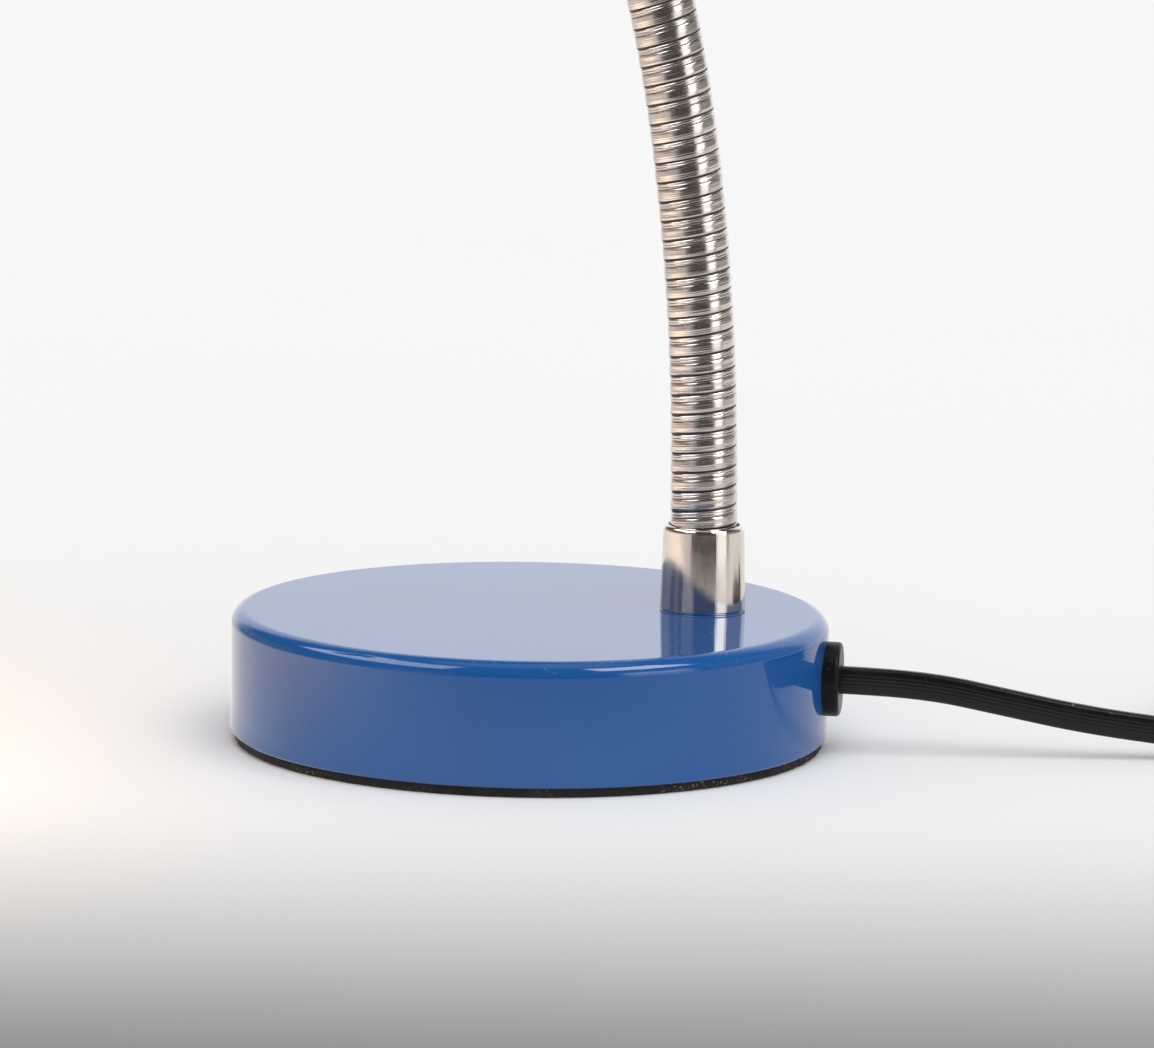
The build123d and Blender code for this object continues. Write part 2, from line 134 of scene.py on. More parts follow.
def eased(value, low, high):
    """0 below a range, 1 above it and smooth between."""
    part = min(max((value - low) / (high - low), 0.0), 1.0)
    return part * part * (3 - 2 * part)


def coil_turns():
    """The put-away turns: inwards on the table, up, and outwards on top of the first layer."""
    turns_in = (outer_turn - inner_turn) / turn_step
    in_end = first_angle + turns_in * 2 * pi
    out_end = ceil(in_end / (2 * pi)) * 2 * pi + turns_out * 2 * pi
    step = 2 * pi / points_per_turn
    points = []
    angle = first_angle + step
    while angle < out_end + step / 2:
        if angle < in_end:
            radius = outer_turn - turn_step * (angle - first_angle) / (2 * pi)
        else:
            radius = inner_turn + turn_step * (angle - in_end) / (2 * pi)
        rise = eased(angle, in_end - climb / 2, in_end + climb / 2)
        height = layer_heights[0] + (layer_heights[1] - layer_heights[0]) * rise
        # the line cuts the corners between its control points, so they stand a little further out
        radius /= cos(pi / points_per_turn)
        points.append(coil_centre + Vector((radius * cos(angle), radius * sin(angle), height)))
        angle += step
    return points


def evaluated(holder):
    """An object's finished mesh, as its curve or its modifiers make it."""
    bpy.context.view_layer.update()
    return bpy.data.meshes.new_from_object(holder.evaluated_get(bpy.context.evaluated_depsgraph_get()))


def lengths_along(points):
    """How far along a line each of its points lies."""
    lengths = [0.0]
    for a, b in zip(points, points[1:]):
        lengths.append(lengths[-1] + (b - a).length)
    return lengths


def smooth_line(name, points, steps):
    """The points of a smooth open line that is drawn by its control points."""
    curve = bpy.data.curves.new(name, "CURVE")
    curve.dimensions = "3D"
    curve.resolution_u = steps
    spline = curve.splines.new("NURBS")
    spline.points.add(len(points) - 1)
    for control, point in zip(spline.points, points):
        control.co = (*point, 1)
    spline.order_u = 3
    spline.use_endpoint_u = True
    holder = placed(name, curve)
    line = evaluated(holder)
    places = [vertex.co.copy() for vertex in line.vertices]
    bpy.data.objects.remove(holder)
    bpy.data.meshes.remove(line)
    return places


cord_points = [exit_point(clamp_reach), exit_point(bushing_face)]
cord_points += [Vector(point) * MM for point in seen_route]
cord_points += coil_turns()
cord_points += [Vector(point) * MM for point in tail_route]
cord_line = smooth_line("cord_route", cord_points, 5)
cord_length = lengths_along(cord_line)[-1]
print("cord", len(cord_points), "control points,", len(cord_line), "places,", round(cord_length, 3), "m")

# %% [markdown]
# ## Ways to make a piece
# Nearly everything on a lamp is turned, drawn or moulded, so a few small helpers make most of it. A turned
# piece is an outline carried round an axis. Its corners are rounded by true arcs, and each arc gets a guard
# ring just outside it, which keeps the reflections on the flat next to it straight.
# %% Helpers for shapes
guard = 0.15


def rounded(outline, radii, steps=6):
    """An outline of (radius, height) pairs with its corners rounded, 0 for a sharp one."""
    smooth = []
    for i, (corner, radius) in enumerate(zip(outline, radii)):
        corner = Vector(corner)
        if not radius:
            smooth.append(corner)
            continue
        to_last = (Vector(outline[i - 1]) - corner).normalized()
        to_next = (Vector(outline[(i + 1) % len(outline)]) - corner).normalized()
        half = to_last.angle(to_next) / 2
        reach = radius / tan(half)
        centre = corner + (to_last + to_next).normalized() * radius / sin(half)
        spoke = corner + to_last * reach - centre
        last_spoke = corner + to_next * reach - centre
        smooth.append(centre + spoke + to_last * guard)
        for k in range(steps + 1):
            smooth.append(centre + spoke.slerp(last_spoke, k / steps) * radius)
        smooth.append(centre + last_spoke + to_next * guard)
    return [tuple(point) for point in smooth]


def turned(outline, segments=128, closed=True):
    """A turned shape about +Z. Its outline, in millimetres, runs up the outside and down the inside."""
    shape = bmesh.new()
    spokes = [2 * pi * i / segments for i in range(segments)]
    rings = []
    for radius, height in outline:
        if radius < 1e-6:
            rings.append([shape.verts.new((0, 0, height * MM))])
            continue
        places = [(radius * cos(a) * MM, radius * sin(a) * MM, height * MM) for a in spokes]
        rings.append([shape.verts.new(place) for place in places])
    pairs = list(zip(rings, rings[1:])) + ([(rings[-1], rings[0])] if closed else [])
    for low, high in pairs:
        for i in range(segments):
            j = (i + 1) % segments
            corners = [low[i % len(low)], low[j % len(low)], high[j % len(high)], high[i % len(high)]]
            corners = list(dict.fromkeys(corners))
            if len(corners) > 2:
                shape.faces.new(corners)
    return shape


def skinned(shape, rings, closed=False):
    """Faces between rings of points, with the ends capped or the last ring joined to the first."""
    for low, high in zip(rings, rings[1:] + rings[:1] if closed else rings[1:]):
        for i in range(len(low)):
            j = (i + 1) % len(low)
            shape.faces.new((low[i], low[j], high[j], high[i]))
    if not closed:
        shape.faces.new(list(reversed(rings[0])))
        shape.faces.new(rings[-1])
    bmesh.ops.recalc_face_normals(shape, faces=shape.faces)
    return shape


def tube_along(places, section, turn_at):
    """A tube whose section of (up, across) pairs follows the places; turn_at gives its roll at each."""
    shape = bmesh.new()
    rings = []
    for i, place in enumerate(places):
        run = (places[min(i + 1, len(places) - 1)] - places[max(i - 1, 0)]).normalized()
        side = run.cross(Vector((0, 0, 1))).normalized()
        up = side.cross(run)
        roll = turn_at(i)
        wide = up * cos(roll) + side * sin(roll)
        thin = side * cos(roll) - up * sin(roll)
        rings.append([shape.verts.new(place + wide * u + thin * t) for u, t in section])
    return skinned(shape, rings)


def oblong(angle, long_half, short_half, power):
    """A point on an oblong with round corners; the smaller the power, the squarer it is."""
    return [abs(part) ** power * (1 if part >= 0 else -1) * half
            for part, half in ((cos(angle), long_half), (sin(angle), short_half))]


def creased(mesh, crease):
    """Shades a mesh smooth, and sharp where faces meet at more than the crease, in degrees."""
    mesh.polygons.foreach_set("use_smooth", [True] * len(mesh.polygons))
    mesh.set_sharp_from_angle(angle=radians(crease))


def piece(name, shape, materials, place=None, crease=35.0):
    """A finished mesh as an object at the origin, with its place in its mesh and its creases marked."""
    mesh = bpy.data.meshes.new(name)
    if isinstance(shape, bmesh.types.BMesh):
        shape.to_mesh(mesh)
        shape.free()
    else:
        mesh = shape
        mesh.name = name
    if place is not None:
        mesh.transform(place)
    creased(mesh, crease)
    mesh.materials.clear()
    for material in materials:
        mesh.materials.append(material)
    return placed(name, mesh)


def cut_away(target, cutter, crease=40.0):
    """Cuts one closed shape out of a piece for good, and removes the cutter."""
    modifier = target.modifiers.new("cut", "BOOLEAN")
    modifier.operation = "DIFFERENCE"
    modifier.solver = "EXACT"
    modifier.object = cutter
    mesh = evaluated(target)
    target.modifiers.clear()
    mesh.name = target.name
    creased(mesh, crease)
    target.data = mesh
    bpy.data.objects.remove(cutter)


def drill(target, radius, low, high, place, segments=48):
    """Cuts a round hole along the axis of its place, from low to high in millimetres."""
    hole = turned([(0, low), (radius, low), (radius, high), (0, high)], segments, False)
    cut_away(target, piece("hole", hole, target.data.materials, place))


print("helpers ready")

# %% [markdown]
# ## Shared effects
# No surface is one flat colour. Paint ripples a little, polish is never even and dust settles on what faces
# up. Each of these effects is a node group with named inputs, made once and used by every finish with its
# own values. The shaders stay in the materials. The hose's grooves are darkened in its own finish, with
# grime and painted shade.
# %% Node helpers


def connect(tree, socket, value):
    """Links a socket to another node's output, or sets it to a plain value."""
    if isinstance(value, bpy.types.NodeSocket):
        tree.links.new(value, socket)
    elif value is not None:
        socket.default_value = value


def add(tree, kind, inputs=None, **settings):
    """Adds a node with its settings and inputs."""
    node = tree.nodes.new(kind)
    for name, value in settings.items():
        setattr(node, name, value)
    for name, value in (inputs or {}).items():
        connect(tree, node.inputs[name], value)
    return node


def calc(tree, operation, *values):
    """One sum of a Math node."""
    node = add(tree, "ShaderNodeMath", operation=operation)
    for socket, value in zip(node.inputs, values):
        connect(tree, socket, value)
    return node.outputs[0]


def vector_calc(tree, operation, *values):
    """One sum of a Vector Math node."""
    node = add(tree, "ShaderNodeVectorMath", operation=operation)
    for socket, value in zip(node.inputs, values):
        connect(tree, socket, value)
    return node.outputs["Value" if operation in ("DOT_PRODUCT", "DISTANCE", "LENGTH") else "Vector"]


def cloud(tree, place, scale, detail):
    """The value of a noise texture."""
    return add(tree, "ShaderNodeTexNoise", {"Vector": place, "Scale": scale, "Detail": detail}).outputs[0]


def spread(tree, value, low, high, to_low=0.0, to_high=1.0, smooth=False):
    """Carries a value from one range to another."""
    node = add(tree, "ShaderNodeMapRange", interpolation_type="SMOOTHSTEP" if smooth else "LINEAR")
    labels = ("Value", "From Min", "From Max", "To Min", "To Max")
    for label, given in zip(labels, (value, low, high, to_low, to_high)):
        connect(tree, node.inputs[label], given)
    return node.outputs[0]


def blended(tree, share, one, two):
    """A mix of two colours."""
    node = add(tree, "ShaderNodeMix", data_type="RGBA")
    connect(tree, node.inputs[0], share)
    connect(tree, node.inputs[6], one)
    connect(tree, node.inputs[7], two)
    return node.outputs[2]


def socket_kind(value):
    """The kind of socket that holds a value; a word names the kind itself."""
    if isinstance(value, str):
        return "NodeSocket" + value
    if isinstance(value, tuple):
        return "NodeSocketVector" if len(value) == 3 else "NodeSocketColor"
    return "NodeSocketInt" if isinstance(value, int) else "NodeSocketFloat"


def new_tree(name, inputs, outputs, kind="ShaderNodeTree"):
    """An empty node group with its named sockets, and the sockets of its input and output nodes."""
    tree = bpy.data.node_groups.new(name, kind)
    for label, value in inputs.items():
        socket = tree.interface.new_socket(label, in_out="INPUT", socket_type=socket_kind(value))
        if not isinstance(value, str):
            socket.default_value = value
    for label, value in outputs.items():
        tree.interface.new_socket(label, in_out="OUTPUT", socket_type=socket_kind(value))
    return tree, tree.nodes.new("NodeGroupInput").outputs, tree.nodes.new("NodeGroupOutput").inputs


def use(tree, group, inputs):
    """Places a shared effect in a material and gives its outputs."""
    node = tree.nodes.new("ShaderNodeGroup")
    node.node_tree = group
    for name, value in inputs.items():
        connect(tree, node.inputs[name], value)
    return node.outputs


# %% Two tones and uneven gloss
nowhere = (0, 0, 0)
grey = (0.5, 0.5, 0.5, 1)
tones, given, made = new_tree(
    "two_tones", {"Place": nowhere, "Scale": 40.0, "One": grey, "Two": grey}, {"Color": "Color"}
)
share = spread(tones, cloud(tones, given["Place"], given["Scale"], 3.0), 0.35, 0.65)
connect(tones, made["Color"], blended(tones, share, given["One"], given["Two"]))

gloss, given, made = new_tree(
    "uneven_gloss", {"Place": nowhere, "Scale": 60.0, "Least": 0.1, "Most": 0.2}, {"Roughness": "Float"}
)
patches = cloud(gloss, given["Place"], given["Scale"], 4.0)
connect(gloss, made["Roughness"], spread(gloss, patches, 0.32, 0.7, given["Least"], given["Most"]))

# %% Ripple, dust and streaks
ripple, given, made = new_tree("skin_ripple", {"Place": nowhere, "Scale": 600.0}, {"Height": "Float"})
connect(ripple, made["Height"], cloud(ripple, given["Place"], given["Scale"], 1.0))

dust, given, made = new_tree(
    "settled_dust", {"Place": nowhere, "Scale": 900.0, "Amount": 0.3}, {"Mask": "Float"}
)
facing = add(dust, "ShaderNodeNewGeometry")
tilt = add(dust, "ShaderNodeSeparateXYZ", {0: facing.outputs["Normal"]})
grains = spread(dust, cloud(dust, given["Place"], given["Scale"], 2.0), 0.66, 0.76)
film = spread(dust, tilt.outputs[2], 0.2, 0.95)
connect(dust, made["Mask"], calc(dust, "MULTIPLY", calc(dust, "MULTIPLY", grains, film), given["Amount"]))

streaks, given, made = new_tree(
    "polish_streaks", {"Place": nowhere, "Squeeze": (1, 1, 0.04), "Scale": 1500.0}, {"Height": "Float"}
)
stretched = vector_calc(streaks, "MULTIPLY", given["Place"], given["Squeeze"])
connect(streaks, made["Height"], cloud(streaks, stretched, given["Scale"], 2.0))
print("effects:", ", ".join(sorted(group.name for group in bpy.data.node_groups)))

# %% [markdown]
# ## The finishes
# One recipe covers the plain case: two close tones, a gloss that varies, a rippled skin and some dust. The
# finishes that need more, such as the hose's steel with grime and painted shade in its grooves or the
# flecked foam, add it on top.
# %% The common recipe
finishes = {}
dust_grey = (0.55, 0.54, 0.52, 1)


def raised(tree, shader, height, depth, strength=1.0):
    """Lays one more bump over those that a shader already has."""
    bump = add(tree, "ShaderNodeBump", {"Strength": strength, "Distance": depth, "Height": height})
    normal = shader.inputs["Normal"]
    if normal.is_linked:
        connect(tree, bump.inputs["Normal"], normal.links[0].from_socket)
    connect(tree, normal, bump.outputs["Normal"])


def surface(name, one, two, tone_scale, least, most, ripple_scale, ripple_depth, dusty=0.0, **constants):
    """A material by the common recipe. Its constants go on the shader's own sockets."""
    material = bpy.data.materials.new(name)
    material.use_nodes = True
    tree = material.node_tree
    shader = tree.nodes["Principled BSDF"]
    place = add(tree, "ShaderNodeTexCoord").outputs["Object"]
    pair = {"Place": place, "Scale": tone_scale, "One": (*one, 1), "Two": (*two, 1)}
    colour = use(tree, tones, pair)["Color"]
    if dusty:
        mask = use(tree, dust, {"Place": place, "Amount": dusty})["Mask"]
        colour = blended(tree, mask, colour, dust_grey)
    connect(tree, shader.inputs["Base Color"], colour)
    sheen = {"Place": place, "Scale": tone_scale * 2, "Least": least, "Most": most}
    connect(tree, shader.inputs["Roughness"], use(tree, gloss, sheen)["Roughness"])
    height = use(tree, ripple, {"Place": place, "Scale": ripple_scale})["Height"]
    raised(tree, shader, height, ripple_depth)
    for label, value in constants.items():
        shader.inputs[label.replace("_", " ")].default_value = value
    finishes[name] = material
    return material


def parts_of(material):
    """A material's tree, its shader and its place coordinates, for adding to it."""
    tree = material.node_tree
    place = next(node for node in tree.nodes if node.type == "TEX_COORD").outputs["Object"]
    return tree, tree.nodes["Principled BSDF"], place


# %% Paint, plastic and rubber
blue_paint = surface(
    "blue_paint", (0.011, 0.090, 0.310), (0.0135, 0.101, 0.340), 14, 0.10, 0.16, 700, 1.2e-6, 0.25,
    Coat_Weight=1.0, Coat_Roughness=0.02, Coat_IOR=1.46, Specular_IOR_Level=0.0,
)
white_enamel = surface("white_enamel", (0.78, 0.77, 0.74), (0.84, 0.83, 0.80), 20, 0.28, 0.4, 500, 3e-6, 0.15)
black_plastic = surface(
    "black_plastic", (0.012, 0.012, 0.013), (0.02, 0.02, 0.021), 60, 0.34, 0.46, 2500, 8e-6, 0.4
)
white_plastic = surface(
    "white_plastic", (0.68, 0.66, 0.60), (0.74, 0.72, 0.67), 60, 0.3, 0.42, 1800, 4e-6, 0.3
)
black_rubber = surface(
    "black_rubber", (0.004, 0.004, 0.005), (0.007, 0.007, 0.008), 90, 0.3, 0.4, 2200, 7e-6, 0.3,
    Specular_IOR_Level=0.15,
)
surface("lead_sheath", (0.5, 0.5, 0.48), (0.58, 0.58, 0.56), 90, 0.4, 0.5, 1600, 1e-5)
print("plain finishes:", ", ".join(finishes))

# %% Metals
nickel = surface(
    "nickel", (0.64, 0.595, 0.56), (0.70, 0.655, 0.62), 90, 0.08, 0.15, 900, 1.5e-6, Metallic=1.0
)
zinc_steel = surface(
    "zinc_steel", (0.55, 0.56, 0.58), (0.66, 0.66, 0.66), 120, 0.28, 0.42, 1500, 8e-6, Metallic=1.0
)
grey_iron = surface("grey_iron", (0.10, 0.10, 0.105), (0.17, 0.17, 0.17), 160, 0.65, 0.85, 900, 1.2e-4)
brass = surface("brass", (0.72, 0.50, 0.20), (0.80, 0.58, 0.27), 140, 0.2, 0.34, 1500, 6e-6, Metallic=1.0)
bulb_cap = surface(
    "bulb_cap", (0.70, 0.69, 0.67), (0.78, 0.77, 0.75), 140, 0.25, 0.38, 1600, 8e-6, Metallic=1.0
)

tree, shader, place = parts_of(nickel)
fine_lines = use(tree, streaks, {"Place": place, "Squeeze": (1, 1, 0.03), "Scale": 2200.0})["Height"]
raised(tree, shader, fine_lines, 2.6e-5)
print("metals:", nickel.name, zinc_steel.name, grey_iron.name, brass.name, bulb_cap.name)

# %% Hose steel, darker in its grooves
hose_steel = surface(
    "hose_steel", (0.59, 0.55, 0.515), (0.665, 0.62, 0.585), 70, 0.16, 0.24, 900, 1.5e-6, Metallic=1.0
)
tree, shader, place = parts_of(hose_steel)
strip_place = add(tree, "ShaderNodeAttribute", attribute_name="strip").outputs["Vector"]
turns_up, across, depth = add(tree, "ShaderNodeSeparateXYZ", {0: strip_place}).outputs
# grime and painted shade darken the grooves and one edge of each turn, and reach further near the foot
grime_and_shade_brown = (0.10, 0.09, 0.08, 1)
in_groove = spread(tree, depth, 0.15 * MM, 0.34 * MM, 0.0, 0.9)
edge_reach = spread(tree, turns_up, 3.0, 10.0, 0.105, 0.055, smooth=True)
under_edge = spread(tree, across, calc(tree, "SUBTRACT", edge_reach, 0.03), edge_reach, 0.8, 0.0)
grime_and_painted_shade = calc(tree, "MAXIMUM", in_groove, under_edge)
clean = shader.inputs["Base Color"].links[0].from_socket
connect(tree, shader.inputs["Base Color"], blended(tree, grime_and_painted_shade, clean, grime_and_shade_brown))
even = shader.inputs["Roughness"].links[0].from_socket
connect(tree, shader.inputs["Roughness"], calc(tree, "ADD", even, calc(tree, "MULTIPLY", grime_and_painted_shade, 0.4)))
# drawing lines of four sizes: how they are squeezed along the strip, how deep and how strong they are
near_foot = spread(tree, turns_up, 5.0, 18.0, 1.0, 0.15, smooth=True)
for squeeze, drawn_depth, fading in [
    ((1.3, 46.0, 0.0), 7e-6, 1.0),
    ((0.9, 13.0, 0.0), 2e-5, 1.0),
    ((5.0, 1.5, 0.0), 4e-5, 1.0),
    ((0.3, 4.5, 0.0), 2.2e-4, near_foot),
]:
    drawn = use(tree, streaks, {"Place": strip_place, "Squeeze": squeeze, "Scale": 1.0})["Height"]
    raised(tree, shader, drawn, drawn_depth, fading)
print("hose steel reads the strip's own coordinates")

# %% Foam, cord sheath and glass
fleck_brown = (0.24, 0.17, 0.12, 1)
black_foam = surface(
    "black_foam", (0.008, 0.008, 0.008), (0.018, 0.017, 0.017), 300, 0.85, 0.98, 2600, 1.5e-4
)
tree, shader, place = parts_of(black_foam)
cells = add(tree, "ShaderNodeTexVoronoi", {"Vector": place, "Scale": 1100.0})
flecks = spread(tree, cells.outputs["Distance"], 0.34, 0.2)
worn = spread(tree, cloud(tree, place, 45.0, 2.0), 0.5, 0.62)
dark = shader.inputs["Base Color"].links[0].from_socket
fleck_share = calc(tree, "MULTIPLY", flecks, worn)
connect(tree, shader.inputs["Base Color"], blended(tree, fleck_share, dark, fleck_brown))

black_cord = surface(
    "black_cord", (0.004, 0.004, 0.005), (0.007, 0.007, 0.008), 60, 0.24, 0.36, 1300, 5e-6, 0.3,
    Specular_IOR_Level=0.3,
)

opal_glass = surface("opal_glass", (0.92, 0.90, 0.86), (0.95, 0.93, 0.90), 25, 0.2, 0.3, 300, 2e-6)
glow = opal_glass.node_tree.nodes["Principled BSDF"]
glow.inputs["Emission Color"].default_value = (1.0, 0.74, 0.45, 1)
glow.inputs["Emission Strength"].default_value = 4.0
print("soft finishes:", black_foam.name, black_cord.name, opal_glass.name)

# %% [markdown]
# ## Floor, surroundings and light
# The lamp stands on a pale floor in plain soft light: an even sky and one wide overhead lamp, which leaves
# only faint shadows. The floor is darkened in front of the lamp with painted shade. What polished metal looks
# like, though, is what stands round it. So the sky is drawn twice: even for the light it gives, and for
# reflections as a studio with a white backdrop, a dark room in front and a few lit panels. The floor lets
# reflections past beyond its edge, as a small table would.
# %% Surroundings
light_level = 0.5
world = bpy.data.worlds.new("studio")
scene.world = world
world.use_nodes = True
world.cycles.sampling_method = "NONE"
tree = world.node_tree
ray = add(tree, "ShaderNodeLightPath").outputs
direction = add(tree, "ShaderNodeTexCoord").outputs["Generated"]


def along(vector):
    """How far a direction points along a vector."""
    return vector_calc(tree, "DOT_PRODUCT", direction, tuple(vector))


bearing = calc(tree, "MULTIPLY", calc(tree, "ARCTAN2", along(level_right), along(-level_forward)), 180 / pi)
height = calc(tree, "MULTIPLY", calc(tree, "ARCSINE", along((0, 0, 1))), 180 / pi)


def between(value, low, high, soft):
    """1 between two values and 0 outside them, with soft edges."""
    above = spread(tree, value, low - soft, low + soft, smooth=True)
    below = spread(tree, value, high - soft, high + soft, 1.0, 0.0, smooth=True)
    return calc(tree, "MULTIPLY", above, below)


def patch(bearings, heights, soft_side, soft_top):
    """A patch of the surroundings by its bearing from the front, positive to the right, and its height."""
    return calc(tree, "MULTIPLY", between(bearing, *bearings, soft_side), between(height, *heights, soft_top))


# Bearings and heights in degrees, softness of the sides and of the top, and the colour seen there. A later
# patch lies over an earlier one, and what none of them covers is the dark room.
dark_room = (0.092, 0.081, 0.073, 1)
studio = [
    ((-230, -36), (-95, -1), 4, 2, (0.86, 0.785, 0.745)),
    ((74, 230), (-95, -1), 4, 2, (1.06, 1.03, 1.0)),
    ((-150, -27), (-1, 15), 3, 3, (0.16, 0.13, 0.115)),
    ((-150, -101), (-1, 16), 4, 3, (0.33, 0.32, 0.31)),
    ((-82, -72), (-1, 14), 2, 3, (0.30, 0.28, 0.26)),
    ((-58, -27), (-1, 13), 3, 3, (0.46, 0.45, 0.45)),
    ((72, 126), (-1, 30), 5, 8, (0.30, 0.295, 0.29)),
    ((130, 230), (-95, 42), 8, 14, (1.18, 1.18, 1.19)),
    ((-230, -150), (-95, 42), 8, 14, (1.18, 1.18, 1.19)),
    ((-230, 230), (70, 95), 3, 4, (0.8, 0.8, 0.8)),
    ((-116, -36), (34, 60), 3, 2, (5.0, 5.0, 5.0)),
    ((32, 80), (42, 62), 3, 2, (9.0, 9.0, 9.0)),
    ((37, 67), (-95, 22), 4, 2, (1.52, 1.50, 1.47)),
    ((38, 64), (7, 22), 4, 3, (3.0, 2.97, 2.92)),
]
seen = dark_room
for bearings, heights, soft_side, soft_top, colour in studio:
    seen = blended(tree, patch(bearings, heights, soft_side, soft_top), seen, (*colour, 1))
sky = (light_level, light_level, light_level, 1)
backdrop = (0.92, 0.92, 0.92, 1)
shown = blended(tree, ray["Is Glossy Ray"], sky, seen)
shown = blended(tree, ray["Is Transmission Ray"], shown, backdrop)
shown = blended(tree, ray["Is Camera Ray"], shown, backdrop)
connect(tree, tree.nodes["Background"].inputs["Color"], shown)
print("surroundings:", len(studio), "patches over a dark room")

# %% Overhead lamp
overhead_strength = 0.56 * pi
overhead_width = radians(64)
overhead_lean = (radians(24), radians(6), 0)
overhead = placed("overhead", bpy.data.lights.new("overhead", "SUN"))
overhead.data.energy = overhead_strength
overhead.data.angle = overhead_width
overhead.rotation_euler = overhead_lean
overhead.visible_glossy = False

# the lamp's own warm light on the table, from the mouth of its shade
pool_watts = 0.37
pool_colour = (1.0, 0.56, 0.20)
pool_size = 30.0 * MM
pool_place = Vector((-239.0, 0.0, 114.0)) * MM
pool = placed("pool", bpy.data.lights.new("pool", "POINT"))
pool.data.energy = pool_watts
pool.data.color = pool_colour
pool.data.shadow_soft_size = pool_size
pool.location = pool_place
pool.visible_glossy = False
print("overhead lamp gives half of the light on the floor; a warm pool lies under the shade")

# %% Floor
floor_half = 8.0
floor_gap = 0.2 * MM
table_edge = (0.385, 0.435)
# the floor's grey by its distance behind the lamp, in metres, negative in front; the dark dip in front is
# painted shade
painted_shade_sweep = [
    (-2.4, 0.93), (-1.7, 0.92), (-1.1, 0.72), (-0.7, 0.30), (-0.42, 0.15), (-0.34, 0.235),
    (-0.30, 0.305), (-0.235, 0.52), (-0.155, 0.77), (-0.09, 0.89), (0.3, 0.925), (1.5, 0.93),
]
nearest, farthest = painted_shade_sweep[0][0], painted_shade_sweep[-1][0]
corners = [(-1, -1), (1, -1), (1, 1), (-1, 1)]
shape = bmesh.new()
shape.faces.new([shape.verts.new((x * floor_half, y * floor_half, -floor_gap)) for x, y in corners])
floor_paper = bpy.data.materials.new("floor_paper")
floor_paper.use_nodes = True
tree = floor_paper.node_tree
shader = tree.nodes["Principled BSDF"]
place = add(tree, "ShaderNodeTexCoord").outputs["Object"]
ahead = vector_calc(tree, "DOT_PRODUCT", place, tuple(level_forward))
ramp = add(tree, "ShaderNodeValToRGB", {"Fac": spread(tree, ahead, nearest, farthest)})
ramp.color_ramp.interpolation = "B_SPLINE"
while len(ramp.color_ramp.elements) < len(painted_shade_sweep):
    ramp.color_ramp.elements.new(0.5)
for element, (distance, tone) in zip(ramp.color_ramp.elements, painted_shade_sweep):
    element.position = (distance - nearest) / (farthest - nearest)
    element.color = (tone, tone, tone, 1)
grain = spread(tree, cloud(tree, place, 3.0, 2.0), 0.3, 0.7, 0.0, 0.02)
paper_and_painted_shade = blended(tree, grain, ramp.outputs[0], (0.6, 0.6, 0.6, 1))

# Reflections see the floor with a painted warmer, paler tint, and a painted glow of light near the lit
# table under the shade.
# Past the table's edge they see through it to the surroundings.
glossy_ray = add(tree, "ShaderNodeLightPath").outputs["Is Glossy Ray"]
mirrored = vector_calc(tree, "MULTIPLY", paper_and_painted_shade, (1.05, 1.0, 0.955))
mirrored = blended(tree, 0.25, mirrored, (0.97, 0.93, 0.89, 1))
connect(tree, shader.inputs["Base Color"], blended(tree, glossy_ray, paper_and_painted_shade, mirrored))
shader.inputs["Roughness"].default_value = 0.9
shader.inputs["Specular IOR Level"].default_value = 0.0
from_pool = vector_calc(tree, "DISTANCE", place, (-0.239, 0, 0))
painted_pool_glow = spread(tree, from_pool, 0.08, 0.36, 0.47, 0.0, smooth=True)
shader.inputs["Emission Color"].default_value = (1.0, 0.92, 0.80, 1)
connect(tree, shader.inputs["Emission Strength"], calc(tree, "MULTIPLY", painted_pool_glow, glossy_ray))
far = vector_calc(tree, "LENGTH", place)
past_edge = calc(tree, "MULTIPLY", spread(tree, far, *table_edge, smooth=True), glossy_ray)
clear = add(tree, "ShaderNodeBsdfTransparent")
either = add(tree, "ShaderNodeMixShader", {0: past_edge, 1: shader.outputs[0], 2: clear.outputs[0]})
connect(tree, tree.nodes["Material Output"].inputs["Surface"], either.outputs[0])
floor = piece("floor", shape, [floor_paper])
print("floor", 2 * floor_half, "m wide")

# %% [markdown]
# ## The neck, wound from a steel strip
# The hose is one long strip wound in a right-handed spiral, each turn hooked into the next. Sweeping a
# section along a spiral twists it, and a displacement blurs its edges. So Geometry Nodes lay a grid on the
# hose instead: its columns stand round the hose, and its rows run with the strip, slanted by one turn, so
# that every edge of the strip is a row of the grid. Two curves in the tree hold the strip's outline: where
# across the strip each row lies, and how deep. The neck bends at eleven hinges, so the hose is split there,
# in its deepest groove, where turns of a real hose open on one side and close up on the other. A smooth
# barrel inside each split fills the gap that opens.
# %% The neck's middle line
link_bends = [1.5, 3.7, 3.5, 6.5, 7.5, 10.0, 13.0, 20.0, 27.0, 31.0, 26.3, 0.0]
strip_step = 4.6 * MM
turns_per_link = 8
link_length = strip_step * turns_per_link
hose_radius = 7.85 * MM
ferrule_floor = 5.0 * MM
neck_foot = Vector((40.7 * MM, 0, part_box("lower_ferrule")[0].z + ferrule_floor))


def neck_place(distance):
    """Where the hose's middle line is at a distance along it, and how far it leans from upright."""
    x, z, lean = neck_foot.x, neck_foot.z, 0.0
    for bend in link_bends:
        run = min(distance, link_length)
        half = radians(bend) * run / link_length / 2
        chord = run * (sin(half) / half if half else 1.0)
        x -= chord * sin(lean + half)
        z += chord * cos(lean + half)
        lean += 2 * half
        distance -= run
        if distance <= 0:
            break
    return Vector((x, 0, z)), lean


hinges = [Vector(joint["pos_m"]) for joint in frame["joints"] if joint["name"].startswith("neck")]
worst = max((hinge - neck_place(link_length * (i + 1))[0]).length for i, hinge in enumerate(hinges))
print(len(hinges), "hinges; the worked-out line passes them within", round(worst * 1e6, 1), "micrometres")

